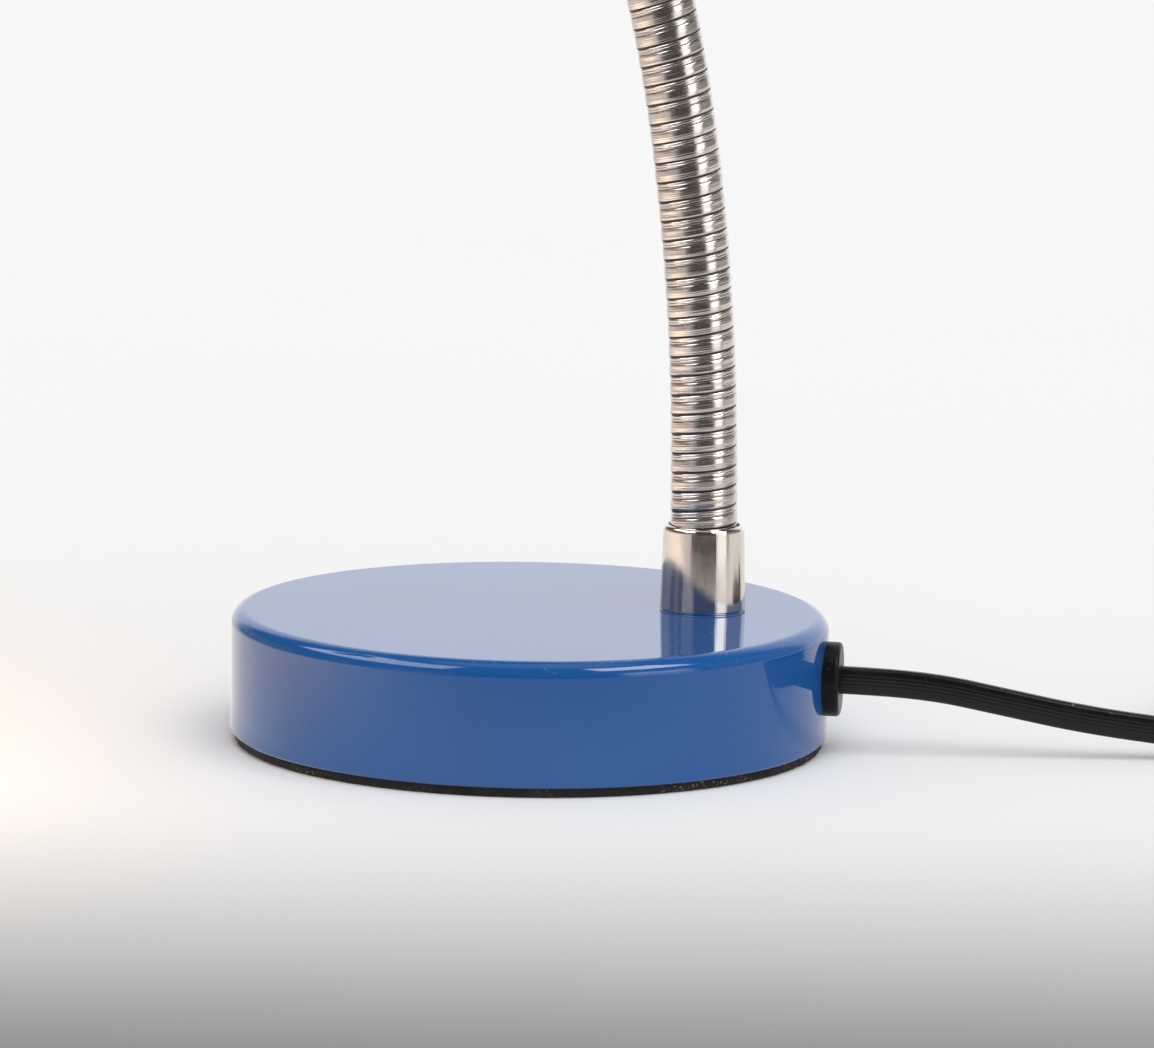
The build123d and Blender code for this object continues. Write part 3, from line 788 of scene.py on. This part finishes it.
# %% The strip as a node tree
# across the strip as a share of its step, and depth in millimetres under the hose's outside
strip_outline = [
    (0.0, 0.48), (0.018, 0.30), (0.035, 0.17), (0.055, 0.08), (0.09, 0.02), (0.16, -0.015),
    (0.25, -0.03), (0.35, -0.03), (0.44, -0.02), (0.53, 0.0), (0.585, 0.04), (0.61, 0.10),
    (0.628, 0.20), (0.645, 0.30), (0.665, 0.19), (0.69, 0.10), (0.74, 0.07), (0.785, 0.10),
    (0.805, 0.17), (0.825, 0.10), (0.87, 0.07), (0.915, 0.10), (0.948, 0.22), (0.975, 0.42),
]
rows_per_turn = len(strip_outline)
depth_scale = 0.5 * MM
# depths are lifted by this many millimetres in the curve, which holds nothing under zero
lift = 0.1

strip_tree, given, made = new_tree(
    "wound_strip",
    {
        "Middle Line": "Geometry", "Start": 0.0, "Turns": 8, "Step": strip_step,
        "Radius": hose_radius, "Columns": 72, "Finish": "Material",
    },
    {"Strip": "Geometry"},
    kind="GeometryNodeTree",
)
strip_tree.is_modifier = True
tree = strip_tree
line = add(tree, "GeometryNodeMeshToCurve", {0: given["Middle Line"]}).outputs[0]
row_count = calc(tree, "ADD", calc(tree, "MULTIPLY", given["Turns"], rows_per_turn), 1)
grid = add(tree, "GeometryNodeMeshGrid", {"Size X": 1.0, "Size Y": 1.0})
connect(tree, grid.inputs["Vertices X"], calc(tree, "ADD", given["Columns"], 1))
connect(tree, grid.inputs["Vertices Y"], row_count)
spot = add(tree, "ShaderNodeSeparateXYZ", {0: add(tree, "GeometryNodeInputPosition").outputs[0]}).outputs
around = calc(tree, "ADD", spot[0], 0.5)
up_grid = calc(tree, "ADD", spot[1], 0.5)
row = calc(tree, "ROUND", calc(tree, "MULTIPLY", up_grid, calc(tree, "SUBTRACT", row_count, 1)))
turn = calc(tree, "FLOOR", calc(tree, "DIVIDE", calc(tree, "ADD", row, 0.5), rows_per_turn))
row_in_turn = calc(tree, "SUBTRACT", row, calc(tree, "MULTIPLY", turn, rows_per_turn))
share = calc(tree, "DIVIDE", row_in_turn, rows_per_turn)


def outline_curve(heights):
    """A curve node that gives each row's value from its place in the turn."""
    node = add(tree, "ShaderNodeFloatCurve", {"Value": share})
    curve = node.mapping.curves[0]
    while len(curve.points) < len(heights):
        curve.points.new(0.5, 0.5)
    for point, (place, height) in zip(curve.points, heights):
        point.location = (place, height)
        point.handle_type = "VECTOR"
    node.mapping.update()
    return node.outputs[0]


row_shares = [i / rows_per_turn for i in range(rows_per_turn)]
offset = outline_curve([(s, across) for s, (across, _) in zip(row_shares, strip_outline)] + [(1.0, 1.0)])
sunk = [(deep + lift) * MM / depth_scale for _, deep in strip_outline]
sink = outline_curve(list(zip(row_shares, sunk)) + [(1.0, sunk[0])])
sink = calc(tree, "SUBTRACT", calc(tree, "MULTIPLY", sink, depth_scale), lift * MM)
travel = calc(tree, "ADD", calc(tree, "ADD", turn, offset), around)
distance = calc(tree, "ADD", calc(tree, "MULTIPLY", travel, given["Step"]), given["Start"])
sample = add(tree, "GeometryNodeSampleCurve", {"Curves": line, "Length": distance}, mode="LENGTH")
angle = calc(tree, "MULTIPLY", around, 2 * pi)
sideways = (0.0, 1.0, 0.0)
outwards = vector_calc(tree, "CROSS_PRODUCT", sideways, sample.outputs["Tangent"])


def scaled(vector, amount):
    """A vector times a number."""
    node = add(tree, "ShaderNodeVectorMath", {0: vector, "Scale": amount}, operation="SCALE")
    return node.outputs[0]


out_part = scaled(outwards, calc(tree, "COSINE", angle))
spoke = vector_calc(tree, "ADD", out_part, scaled(sideways, calc(tree, "SINE", angle)))
reach = scaled(spoke, calc(tree, "SUBTRACT", given["Radius"], sink))
skin = vector_calc(tree, "ADD", sample.outputs["Position"], reach)
strip_point = add(tree, "ShaderNodeCombineXYZ", {0: travel, 1: offset, 2: sink}).outputs[0]
marked = add(
    tree, "GeometryNodeStoreNamedAttribute", {"Geometry": grid.outputs["Mesh"], "Name": "strip"},
    data_type="FLOAT_VECTOR",
)
connect(tree, marked.inputs["Value"], strip_point)
laid = add(tree, "GeometryNodeSetPosition", {"Geometry": marked.outputs[0], "Position": skin})
joined = add(tree, "GeometryNodeMergeByDistance", {"Geometry": laid.outputs[0], "Distance": 2e-6})


def finished(tree, geometry, finish):
    """Real geometry, no copies by reference, with a finish on it."""
    real = add(tree, "GeometryNodeRealizeInstances", {"Geometry": geometry}).outputs[0]
    return add(tree, "GeometryNodeSetMaterial", {"Geometry": real, "Material": finish}).outputs[0]


connect(tree, made["Strip"], finished(tree, joined.outputs[0], given["Finish"]))
print("strip tree:", rows_per_turn, "rows a turn")

# %% One length of hose for each link


def made_by_nodes(name, source, tree, inputs):
    """Runs a node tree on a mesh and keeps the result as a plain mesh."""
    holder = placed(name, source)
    modifier = holder.modifiers.new("nodes", "NODES")
    modifier.node_group = tree
    sockets = {item.name: item.identifier for item in tree.interface.items_tree if item.in_out == "INPUT"}
    for label, value in inputs.items():
        modifier[sockets[label]] = value
    mesh = evaluated(holder)
    holder.modifiers.clear()
    bpy.data.objects.remove(holder)
    return mesh


line_step = 1.0 * MM
line_count = round(len(link_bends) * link_length / line_step) + 1
middle_line = bpy.data.meshes.new("hose_middle_line")
places = [neck_place(len(link_bends) * link_length * i / (line_count - 1))[0] for i in range(line_count)]
middle_line.from_pydata(places, [(i, i + 1) for i in range(line_count - 1)], [])

neck_bodies = ["base"] + [f"neck_{i:02d}" for i in range(2, len(link_bends))] + ["head"]
seam = strip_step / 2
barrel_radius = 7.3 * MM
last_link = len(link_bends) - 1
for i, body in enumerate(neck_bodies):
    start = seam if i == 0 else i * link_length - seam
    turns = turns_per_link - (1 if i in (0, last_link) else 0)
    inputs = {"Start": start, "Turns": turns, "Finish": hose_steel}
    mesh = made_by_nodes("hose", middle_line, strip_tree, inputs)
    if i < last_link:
        shape = bmesh.new()
        shape.from_mesh(mesh)
        at_hinge = Matrix.Translation(neck_place((i + 1) * link_length)[0])
        bmesh.ops.create_uvsphere(shape, u_segments=48, v_segments=24, radius=barrel_radius, matrix=at_hinge)
        mesh = shape
    hose = piece(f"hose_length_{i + 1:02d}", mesh, [hose_steel], crease=18)
    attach(hose, body)
    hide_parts(f"hose_link_{i + 1:02d}")
print("hose:", len(link_bends), "lengths,", len(hose.data.polygons), "faces in the last")

# %% [markdown]
# ## The two ferrules
# Each end of the hose sits in a turned sleeve, plated like the hose: a hair wider at its foot, with a
# rounded mouth and a small step where it stands on the paint. Both are the same turned outline, one at the
# foot of the neck and one upside down over the head.
# %% Ferrules
ferrule_outline = rounded(
    [
        (5.05, 0.0), (9.75, 0.0), (9.75, 0.35), (10.1, 0.35),
        (9.45, 20.2), (8.1, 20.2), (8.1, 5.0), (5.05, 5.0),
    ],
    [0, 0.1, 0, 0.25, 1.15, 0.15, 0, 0],
    steps=8,
)
head_start, head_lean = neck_place(len(link_bends) * link_length)
head_place = Matrix.Translation(head_start) @ Matrix.Rotation(-head_lean, 4, "Y")
foot_place = Matrix.Translation((neck_foot.x, 0, neck_foot.z - ferrule_floor))
top_place = head_place @ Matrix.Translation((0, 0, ferrule_floor)) @ Matrix.Rotation(pi, 4, "X")
for name, body, place in [("lower_ferrule", "base", foot_place), ("upper_ferrule", "head", top_place)]:
    sleeve = piece(f"{name}_turned", turned(ferrule_outline, 160), [nickel], place)
    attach(sleeve, body)
    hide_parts(name)
print("ferrules turned;", "head starts at", [round(x, 4) for x in head_start])

# %% [markdown]
# ## The base
# The cover is drawn from one sheet and sprayed: a straight wall, a soft edge and a flat top that mirrors
# what stands on it. A turned outline gives it true round edges, and two holes are cut for the nipple and the
# cord bushing. Under it sits a foam sheet, cut a little short of the wall and slightly ragged.
# %% Base cover
base_radius = 70.0
rim_height = 2.1
top_height = 30.8
cover_wall = 1.2
edge_radius = 3.5
first_row = 1.2
row_step = 3.35
nipple_hole = 5.15
bushing_hole = 5.55
wall_rows = [(base_radius, rim_height + first_row + i * row_step) for i in range(7)]
flat_rings = [(r, top_height) for r in (56.0, 46.0, 36.0, 26.0, 16.0, 6.0)]
outside = [(base_radius - 0.5, rim_height), (base_radius, rim_height + 0.5)] + wall_rows
outside += [(base_radius, top_height), *flat_rings, (0.0, top_height)]
inner_radius = base_radius - cover_wall
inner_top = top_height - cover_wall
inside = [(0.0, inner_top), (30.0, inner_top), (inner_radius, inner_top), (inner_radius, rim_height)]
radii = [0.0, 0.3] + [0.0] * len(wall_rows) + [edge_radius] + [0.0] * (len(flat_rings) + 1)
radii += [0.0, 0.0, edge_radius - cover_wall, 0.0]
cover = piece("base_cover_drawn", turned(rounded(outside + inside, radii, steps=14), 288), [blue_paint])
drill(cover, nipple_hole, 20.0, 40.0, Matrix.Translation((neck_foot.x, 0, 0)))
level = Matrix.Translation((0, 0, cord_height)) @ Matrix.Rotation(pi / 2, 4, "Y")
exit_place = Matrix.Rotation(exit_angle, 4, "Z") @ level
drill(cover, bushing_hole, 60.0, 80.0, exit_place)
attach(cover, "base")
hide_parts("base_cover")
print("cover:", len(cover.data.polygons), "faces")

# %% Foam pad
pad_radius = 68.8
pad_high = 2.1
ragged_from = 60 * MM
pad_outline = [(0.0, 0.0), (pad_radius, 0.0), (pad_radius, pad_high), (0.0, pad_high)]
shape = turned(rounded(pad_outline, [0, 0.3, 0.2, 0], steps=3), 420, False)
for vertex in shape.verts:
    if vertex.co.xy.length > ragged_from:
        ragged = noise.noise(vertex.co * 260) * 0.22 + noise.noise(vertex.co * 1100) * 0.14
        vertex.co.xy *= 1 + ragged * MM / vertex.co.xy.length
pad = piece("foam_pad", shape, [black_foam])
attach(pad, "base")
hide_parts("base_pad")
print("foam pad", round(pad_radius, 1), "mm in radius")

# %% [markdown]
# ## The cord and its bushing
# The cord is flat, with two cores side by side, and it stands on edge where it leaves the base. Its sheath
# has fine ridges along it from the die. A section with those ridges is carried along the route, and rolls by
# a quarter turn before the plug. The bushing is a plain round rubber grommet with a slot for the cord.
# %% Cord
section_points = 96
ridge_step = 0.85 * MM
ridge_depth = 0.028 * MM
walk_steps = 8000
squareness = 0.62


def points_round_sheath():
    """Evenly spaced points round the sheath, moved in and out by the ridges on its two flat sides."""
    turns = [2 * pi * i / walk_steps for i in range(walk_steps + 1)]
    walk = [Vector(oblong(angle, cord_width / 2, cord_thick / 2, squareness)) for angle in turns]
    walked = lengths_along(walk)
    points = []
    k = 0
    for i in range(section_points):
        while walked[k] < walked[-1] * i / section_points:
            k += 1
        up, across = walk[k]
        side = across / (cord_thick / 2)
        flat = min(2 * abs(side) ** 1.6, 1) * (1 if side > 0 else -1)
        points.append((up, across + ridge_depth * cos(2 * pi * up / ridge_step) * flat))
    return points[::-1]


section = points_round_sheath()
roll_length = 34.0 * MM
travelled = lengths_along(cord_line)
roll_end = travelled[-1] - 4 * MM


def cord_roll(i):
    """The cord's roll at a place: none, then a quarter turn over its last stretch."""
    return pi / 2 * eased(travelled[i], roll_end - roll_length, roll_end)


cord = piece("mains_cord", tube_along(cord_line, section, cord_roll), [black_cord], crease=60)
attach(cord, "base")
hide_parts("power_cord", "power_cord_coil", "power_cord_tail")
print("cord:", len(cord.data.polygons), "faces")

# %% Bushing
bushing_outline = rounded(
    [(0, 66.2), (6.6, 66.2), (6.6, 68.7), (5.4, 68.7), (5.4, 69.2), (8.7, 69.2), (8.7, 73.4), (0, 73.4)],
    [0, 0.3, 0, 0, 0, 0.3, 0.9, 0],
    steps=8,
)
bushing = piece("bushing", turned(bushing_outline, 96, False), [black_rubber], exit_place)
slot_gap = 0.12 * MM
slot_wide = 1 + 2 * slot_gap / cord_width
slot_thick = 1 + 2 * slot_gap / cord_thick
slot_section = [(up * slot_wide, across * slot_thick) for up, across in section]
slot_line = [exit_point(60 * MM), exit_point(70 * MM), exit_point(80 * MM)]
slot_cut = piece("slot_cut", tube_along(slot_line, slot_section, lambda i: 0.0), [black_rubber])
cut_away(bushing, slot_cut)
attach(bushing, "base")
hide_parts("cord_bushing")
print("bushing:", len(bushing.data.polygons), "faces")

# %% [markdown]
# ## The strap and the plug
# The put-away turns are held by one strap of woven hook tape, wrapped round the bundle and lapped over
# itself. The plug is moulded on: a ribbed boot, a waisted body with finger ribs and a flat face. It is
# lofted from superellipses, whose width and thickness change along it.
# %% Strap
strap_black = surface(
    "strap_black", (0.010, 0.010, 0.011), (0.022, 0.022, 0.023), 400, 0.7, 0.9, 2800, 6e-5, 0.3
)
tree, shader, place = parts_of(strap_black)
weave_look = {"Vector": place, "Scale": 420.0, "Distortion": 0.6}
weave = add(tree, "ShaderNodeTexWave", weave_look, bands_direction="DIAGONAL")
raised(tree, shader, weave.outputs["Fac"], 8e-5)
strap_thick = 0.6
bundle = {"near": 27.3, "far": 45.8, "low": 0.7, "high": 14.3}
slack = 0.15 + strap_thick / 2
corners = [
    (bundle["near"] - slack, bundle["low"] - strap_thick / 2),
    (bundle["far"] + slack, bundle["low"] - strap_thick / 2),
    (bundle["far"] + slack, bundle["high"] + strap_thick / 2),
    (bundle["near"] - slack, bundle["high"] + strap_thick / 2),
]
loop = rounded(corners, [1.6] * 4, steps=8)
strap_half = 3.0
half_thick = strap_thick / 2
edge = 0.15
profile = [
    (-strap_half, -half_thick + edge), (-strap_half + edge, -half_thick),
    (strap_half - edge, -half_thick), (strap_half, -half_thick + edge),
    (strap_half, half_thick - edge), (strap_half - edge, half_thick),
    (-strap_half + edge, half_thick), (-strap_half, half_thick - edge),
]
shape = bmesh.new()
rings = []
for i, at in enumerate(loop):
    run = (Vector(loop[(i + 1) % len(loop)]) - Vector(loop[i - 1])).normalized()
    out = Vector((run.y, -run.x))
    ring = []
    for wide, high in profile:
        spot = Vector(at) + out * high
        ring.append(shape.verts.new(coil_centre + Vector((wide, spot.x, spot.y)) * MM))
    rings.append(ring)
strap = piece("coil_strap", skinned(shape, rings, closed=True), [strap_black])
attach(strap, "base")
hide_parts("coil_tie")
print("strap:", len(strap.data.polygons), "faces")

# %% Plug
plug_middle = Vector((245.5, 56.0, 7.0)) * MM
plug_stations = 96
plug_around = 72
boot_length = 12.0
body_length = 26.0

def plug_size(along_plug):
    """Half the plug's width and thickness at a distance from the back of its body, both in millimetres."""
    to_body = eased(along_plug, -1.6, 1.8)
    wide = (3.9 + (along_plug + boot_length) * 0.14) * (1 - to_body) + 12.0 * to_body
    thick = (2.9 + (along_plug + boot_length) * 0.14) * (1 - to_body) + 7.0 * to_body
    if along_plug < -1.5:
        ring = 0.5 + 0.5 * cos(2 * pi * (along_plug + 1.5) / 2.4)
        wide -= 0.55 * ring
        thick -= 0.45 * ring
    if 4.0 < along_plug < 19.0:
        waist = eased(along_plug, 4.0, 7.0) * (1 - eased(along_plug, 16.0, 19.0))
        wide -= waist * (0.7 + 0.35 * cos(2 * pi * along_plug / 1.9))
    face = max(along_plug - (body_length - 1.0), 0.0)
    shrink = 1.0 - (1.0 - min(face, 1.0) ** 2) ** 0.5
    return wide - shrink, thick - shrink


shape = bmesh.new()
rings = []
for k in range(plug_stations + 1):
    part = k / plug_stations
    along_plug = -boot_length + (boot_length + body_length) * part
    wide, thick = plug_size(along_plug)
    ring = []
    for i in range(plug_around):
        x, z = oblong(2 * pi * i / plug_around, wide, thick, 0.5)
        ring.append(shape.verts.new(plug_middle + Vector((x, along_plug, z)) * MM))
    rings.append(ring)
plug = piece("mains_plug", skinned(shape, rings), [black_plastic], crease=50)
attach(plug, "base")
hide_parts("plug_body")
print("plug:", len(plug.data.polygons), "faces; cord declared")

# %% [markdown]
# ## The head
# The shade is a spun cone: blue outside, white enamel inside, with a rolled rim. Over it sits the drawn cap
# that hides the lampholder. Both are turned outlines in the head's own frame, whose axis runs from the end of
# the hose to the middle of the shade's mouth.
# %% Shade and cap
collar_top = 46.5
mouth = 138.5
shade_wall = 0.9
holder_hole = 19.15
collar_radius = 26.0
mouth_radius = 62.5
flare = (mouth_radius - collar_radius) / (mouth - collar_top)
across = shade_wall * (1 + flare * flare) ** 0.5
inner_collar = collar_radius - across + shade_wall * flare
bead = 1.5
rim_middle = mouth_radius - across / 2
outline = [(holder_hole, collar_top + shade_wall), (holder_hole, collar_top), (collar_radius, collar_top)]
cone_rows = [(collar_radius + flare * step, collar_top + step) for step in (12, 24, 36, 48, 60, 72, 84)]
inner_rows = [(r - across, h) for r, h in reversed(cone_rows)]
bead_turns = [radians(-75 + 15 * k) for k in range(15)]
bead_outside = [(rim_middle + bead * cos(a), mouth + bead * sin(a)) for a in bead_turns]
outline += cone_rows + bead_outside + inner_rows + [(inner_collar, collar_top + shade_wall)]
radii = [0, 0, 2.0] + [0] * (len(cone_rows) + len(bead_outside) + len(inner_rows)) + [1.2]
shape = turned(rounded(outline, radii, steps=8), 224)
shade = piece("shade_spun", shape, [blue_paint, white_enamel], crease=50)
for face in shade.data.polygons:
    out = Vector((face.center.x, face.center.y, 0)).normalized()
    inner = face.normal.dot(out) < 0 and face.center.z > (collar_top + 0.3) * MM
    at_rim = face.center.z > (mouth - 0.5) * MM
    face.material_index = int(not at_rim and (inner or face.normal.z > 0.9))
shade.data.transform(head_place)
# reflections leave out the shade and the bulb, which would show as coloured dots in the hose
shade.visible_glossy = False
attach(shade, "head")
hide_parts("shade")

cap_outline = rounded(
    [(5.15, 5.0), (23.0, 5.0), (23.0, 46.2), (22.0, 46.2), (22.0, 6.0), (5.15, 6.0)],
    [0, 4.0, 0.25, 0.25, 3.0, 0],
    steps=12,
)
cap_outline.reverse()
shape = turned(cap_outline, 160)
bmesh.ops.recalc_face_normals(shape, faces=shape.faces)
cap = piece("head_cap", shape, [blue_paint])
shaft_height = 24.45 * MM
shaft_place = Matrix.Translation((0, 0, shaft_height)) @ Matrix.Rotation(pi / 2, 4, "X")
drill(cap, 3.1, 15.0, 30.0, shaft_place, 32)
cap.data.transform(head_place)
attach(cap, "head")
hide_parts("socket_cap")
print("shade and cap:", len(shade.data.polygons), "and", len(cap.data.polygons), "faces")

# %% [markdown]
# ## Bulb, ring and knob
# The bulb is an opal globe with a soft warm glow. A plastic ring clamps the shade to the lampholder, with
# ribs for the fingers, and the switch on the head has a fluted knob. The ribs are copies round an axis,
# which a second node tree places, turns and joins.
# %% Bulb
crown = 113.45
globe_radius = 22.5
globe_middle = crown - globe_radius
neck_radius = 12.7
foot_height = 55.0
globe_outline = [(0.0, foot_height), (neck_radius, foot_height), (neck_radius, 62.0)]
for k in range(9):
    part = k / 8
    globe_outline.append((neck_radius + 3.6 * part * part, 63.5 + 10.5 * part))
start_angle = asin((76.5 - globe_middle) / globe_radius)
for k in range(25):
    angle = start_angle + (pi / 2 - start_angle) * k / 24
    globe_outline.append((globe_radius * cos(angle), globe_middle + globe_radius * sin(angle)))
globe_outline[-1] = (0.0, crown)
globe = piece("bulb_globe", turned(globe_outline, 96, False), [opal_glass], head_place, crease=60)
globe.visible_glossy = False
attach(globe, "head")
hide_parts("bulb_glass")
print("bulb:", len(globe.data.polygons), "faces")

# %% Copies round an axis
ring_tree, given, made = new_tree(
    "copies_round_an_axis",
    {"Rib": "Geometry", "Count": 12, "Radius": 7.0 * MM, "Height": 0.0, "Finish": "Material"},
    {"Ribs": "Geometry"},
    kind="GeometryNodeTree",
)
ring_tree.is_modifier = True
tree = ring_tree
count = add(tree, "GeometryNodeMeshLine", {"Count": given["Count"], "Offset": (0, 0, 0)})
index = add(tree, "GeometryNodeInputIndex").outputs[0]
angle = calc(tree, "MULTIPLY", calc(tree, "DIVIDE", index, given["Count"]), 2 * pi)
east = calc(tree, "MULTIPLY", calc(tree, "COSINE", angle), given["Radius"])
north = calc(tree, "MULTIPLY", calc(tree, "SINE", angle), given["Radius"])
stand = add(tree, "ShaderNodeCombineXYZ", {0: east, 1: north, 2: given["Height"]}).outputs[0]
spots = add(tree, "GeometryNodeSetPosition", {"Geometry": count.outputs[0], "Position": stand})
facing = add(tree, "ShaderNodeCombineXYZ", {2: angle}).outputs[0]
copies = add(tree, "GeometryNodeInstanceOnPoints", {"Points": spots.outputs[0], "Instance": given["Rib"]})
connect(tree, copies.inputs["Rotation"], facing)
connect(tree, made["Ribs"], finished(tree, copies.outputs[0], given["Finish"]))
print("a tree for ribs")

# %% Shade ring and its ribs


def rib_mesh(name, deep, wide, high):
    """A small rib with rounded edges, standing on the axis' skin and reaching outwards along +X."""
    shape = bmesh.new()
    bmesh.ops.create_cube(shape, size=1.0)
    for vertex in shape.verts:
        vertex.co = Vector((vertex.co.x * deep, vertex.co.y * wide, vertex.co.z * high)) * MM
    rounding = 0.3 * wide * MM
    bmesh.ops.bevel(shape, geom=shape.edges[:], offset=rounding, segments=2, affect="EDGES", profile=0.5)
    mesh = bpy.data.meshes.new(name)
    shape.to_mesh(mesh)
    shape.free()
    return mesh


ring_outline = [(19.05, 47.4), (23.2, 47.4), (23.2, 52.9), (19.05, 52.9)]
shape = turned(rounded(ring_outline, [0, 0.3, 0.8, 0.3], steps=5), 128)
ribs = made_by_nodes(
    "ring_ribs", rib_mesh("ring_rib", 1.4, 1.2, 4.4), ring_tree,
    {"Count": 28, "Radius": 23.1 * MM, "Height": 49.9 * MM, "Finish": white_plastic},
)
shape.from_mesh(ribs)
clamp_ring = piece("shade_ring_moulded", shape, [white_plastic], head_place)
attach(clamp_ring, "head")
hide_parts("shade_ring")
print("ring with 28 ribs")

# %% Switch knob
knob_outline = rounded(
    [
        (0, 7.4), (2.5, 7.4), (2.5, 23.6), (7.0, 23.6), (7.0, 25.4),
        (6.35, 25.4), (6.35, 36.6), (3.6, 36.6), (3.6, 36.1), (0, 36.1),
    ],
    [0, 0, 0, 0.25, 0.2, 0, 0.9, 0.2, 0.2, 0],
    steps=5,
)
shape = turned(knob_outline, 96, False)
flutes = made_by_nodes(
    "knob_flutes", rib_mesh("knob_flute", 1.5, 1.9, 10.6), ring_tree,
    {"Count": 12, "Radius": 6.2 * MM, "Height": 30.6 * MM, "Finish": black_plastic},
)
shape.from_mesh(flutes)
knob = piece("switch_knob_fluted", shape, [black_plastic], head_place @ shaft_place)
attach(knob, "switch")
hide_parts("switch_knob")
print("knob with 12 flutes")

# %% [markdown]
# ## The pieces that keep their solids
# Screws, nuts, nipples, the iron weight and the fittings inside the head are right as they are. Each one
# gets the finish of its record slot, so that nothing is left in a flat colour where the lamp is opened.
# %% Finishes for the remaining solids
finishes["bulb_glass"] = opal_glass
dressed_nodes = 0
for name, node in frame["nodes"].items():
    for holder in node.material_slots:
        slot_name = holder.material.name.split(".")[0] if holder.material else ""
        if slot_name in finishes:
            holder.material = finishes[slot_name]
            dressed_nodes += 1
print(dressed_nodes, "solids dressed")
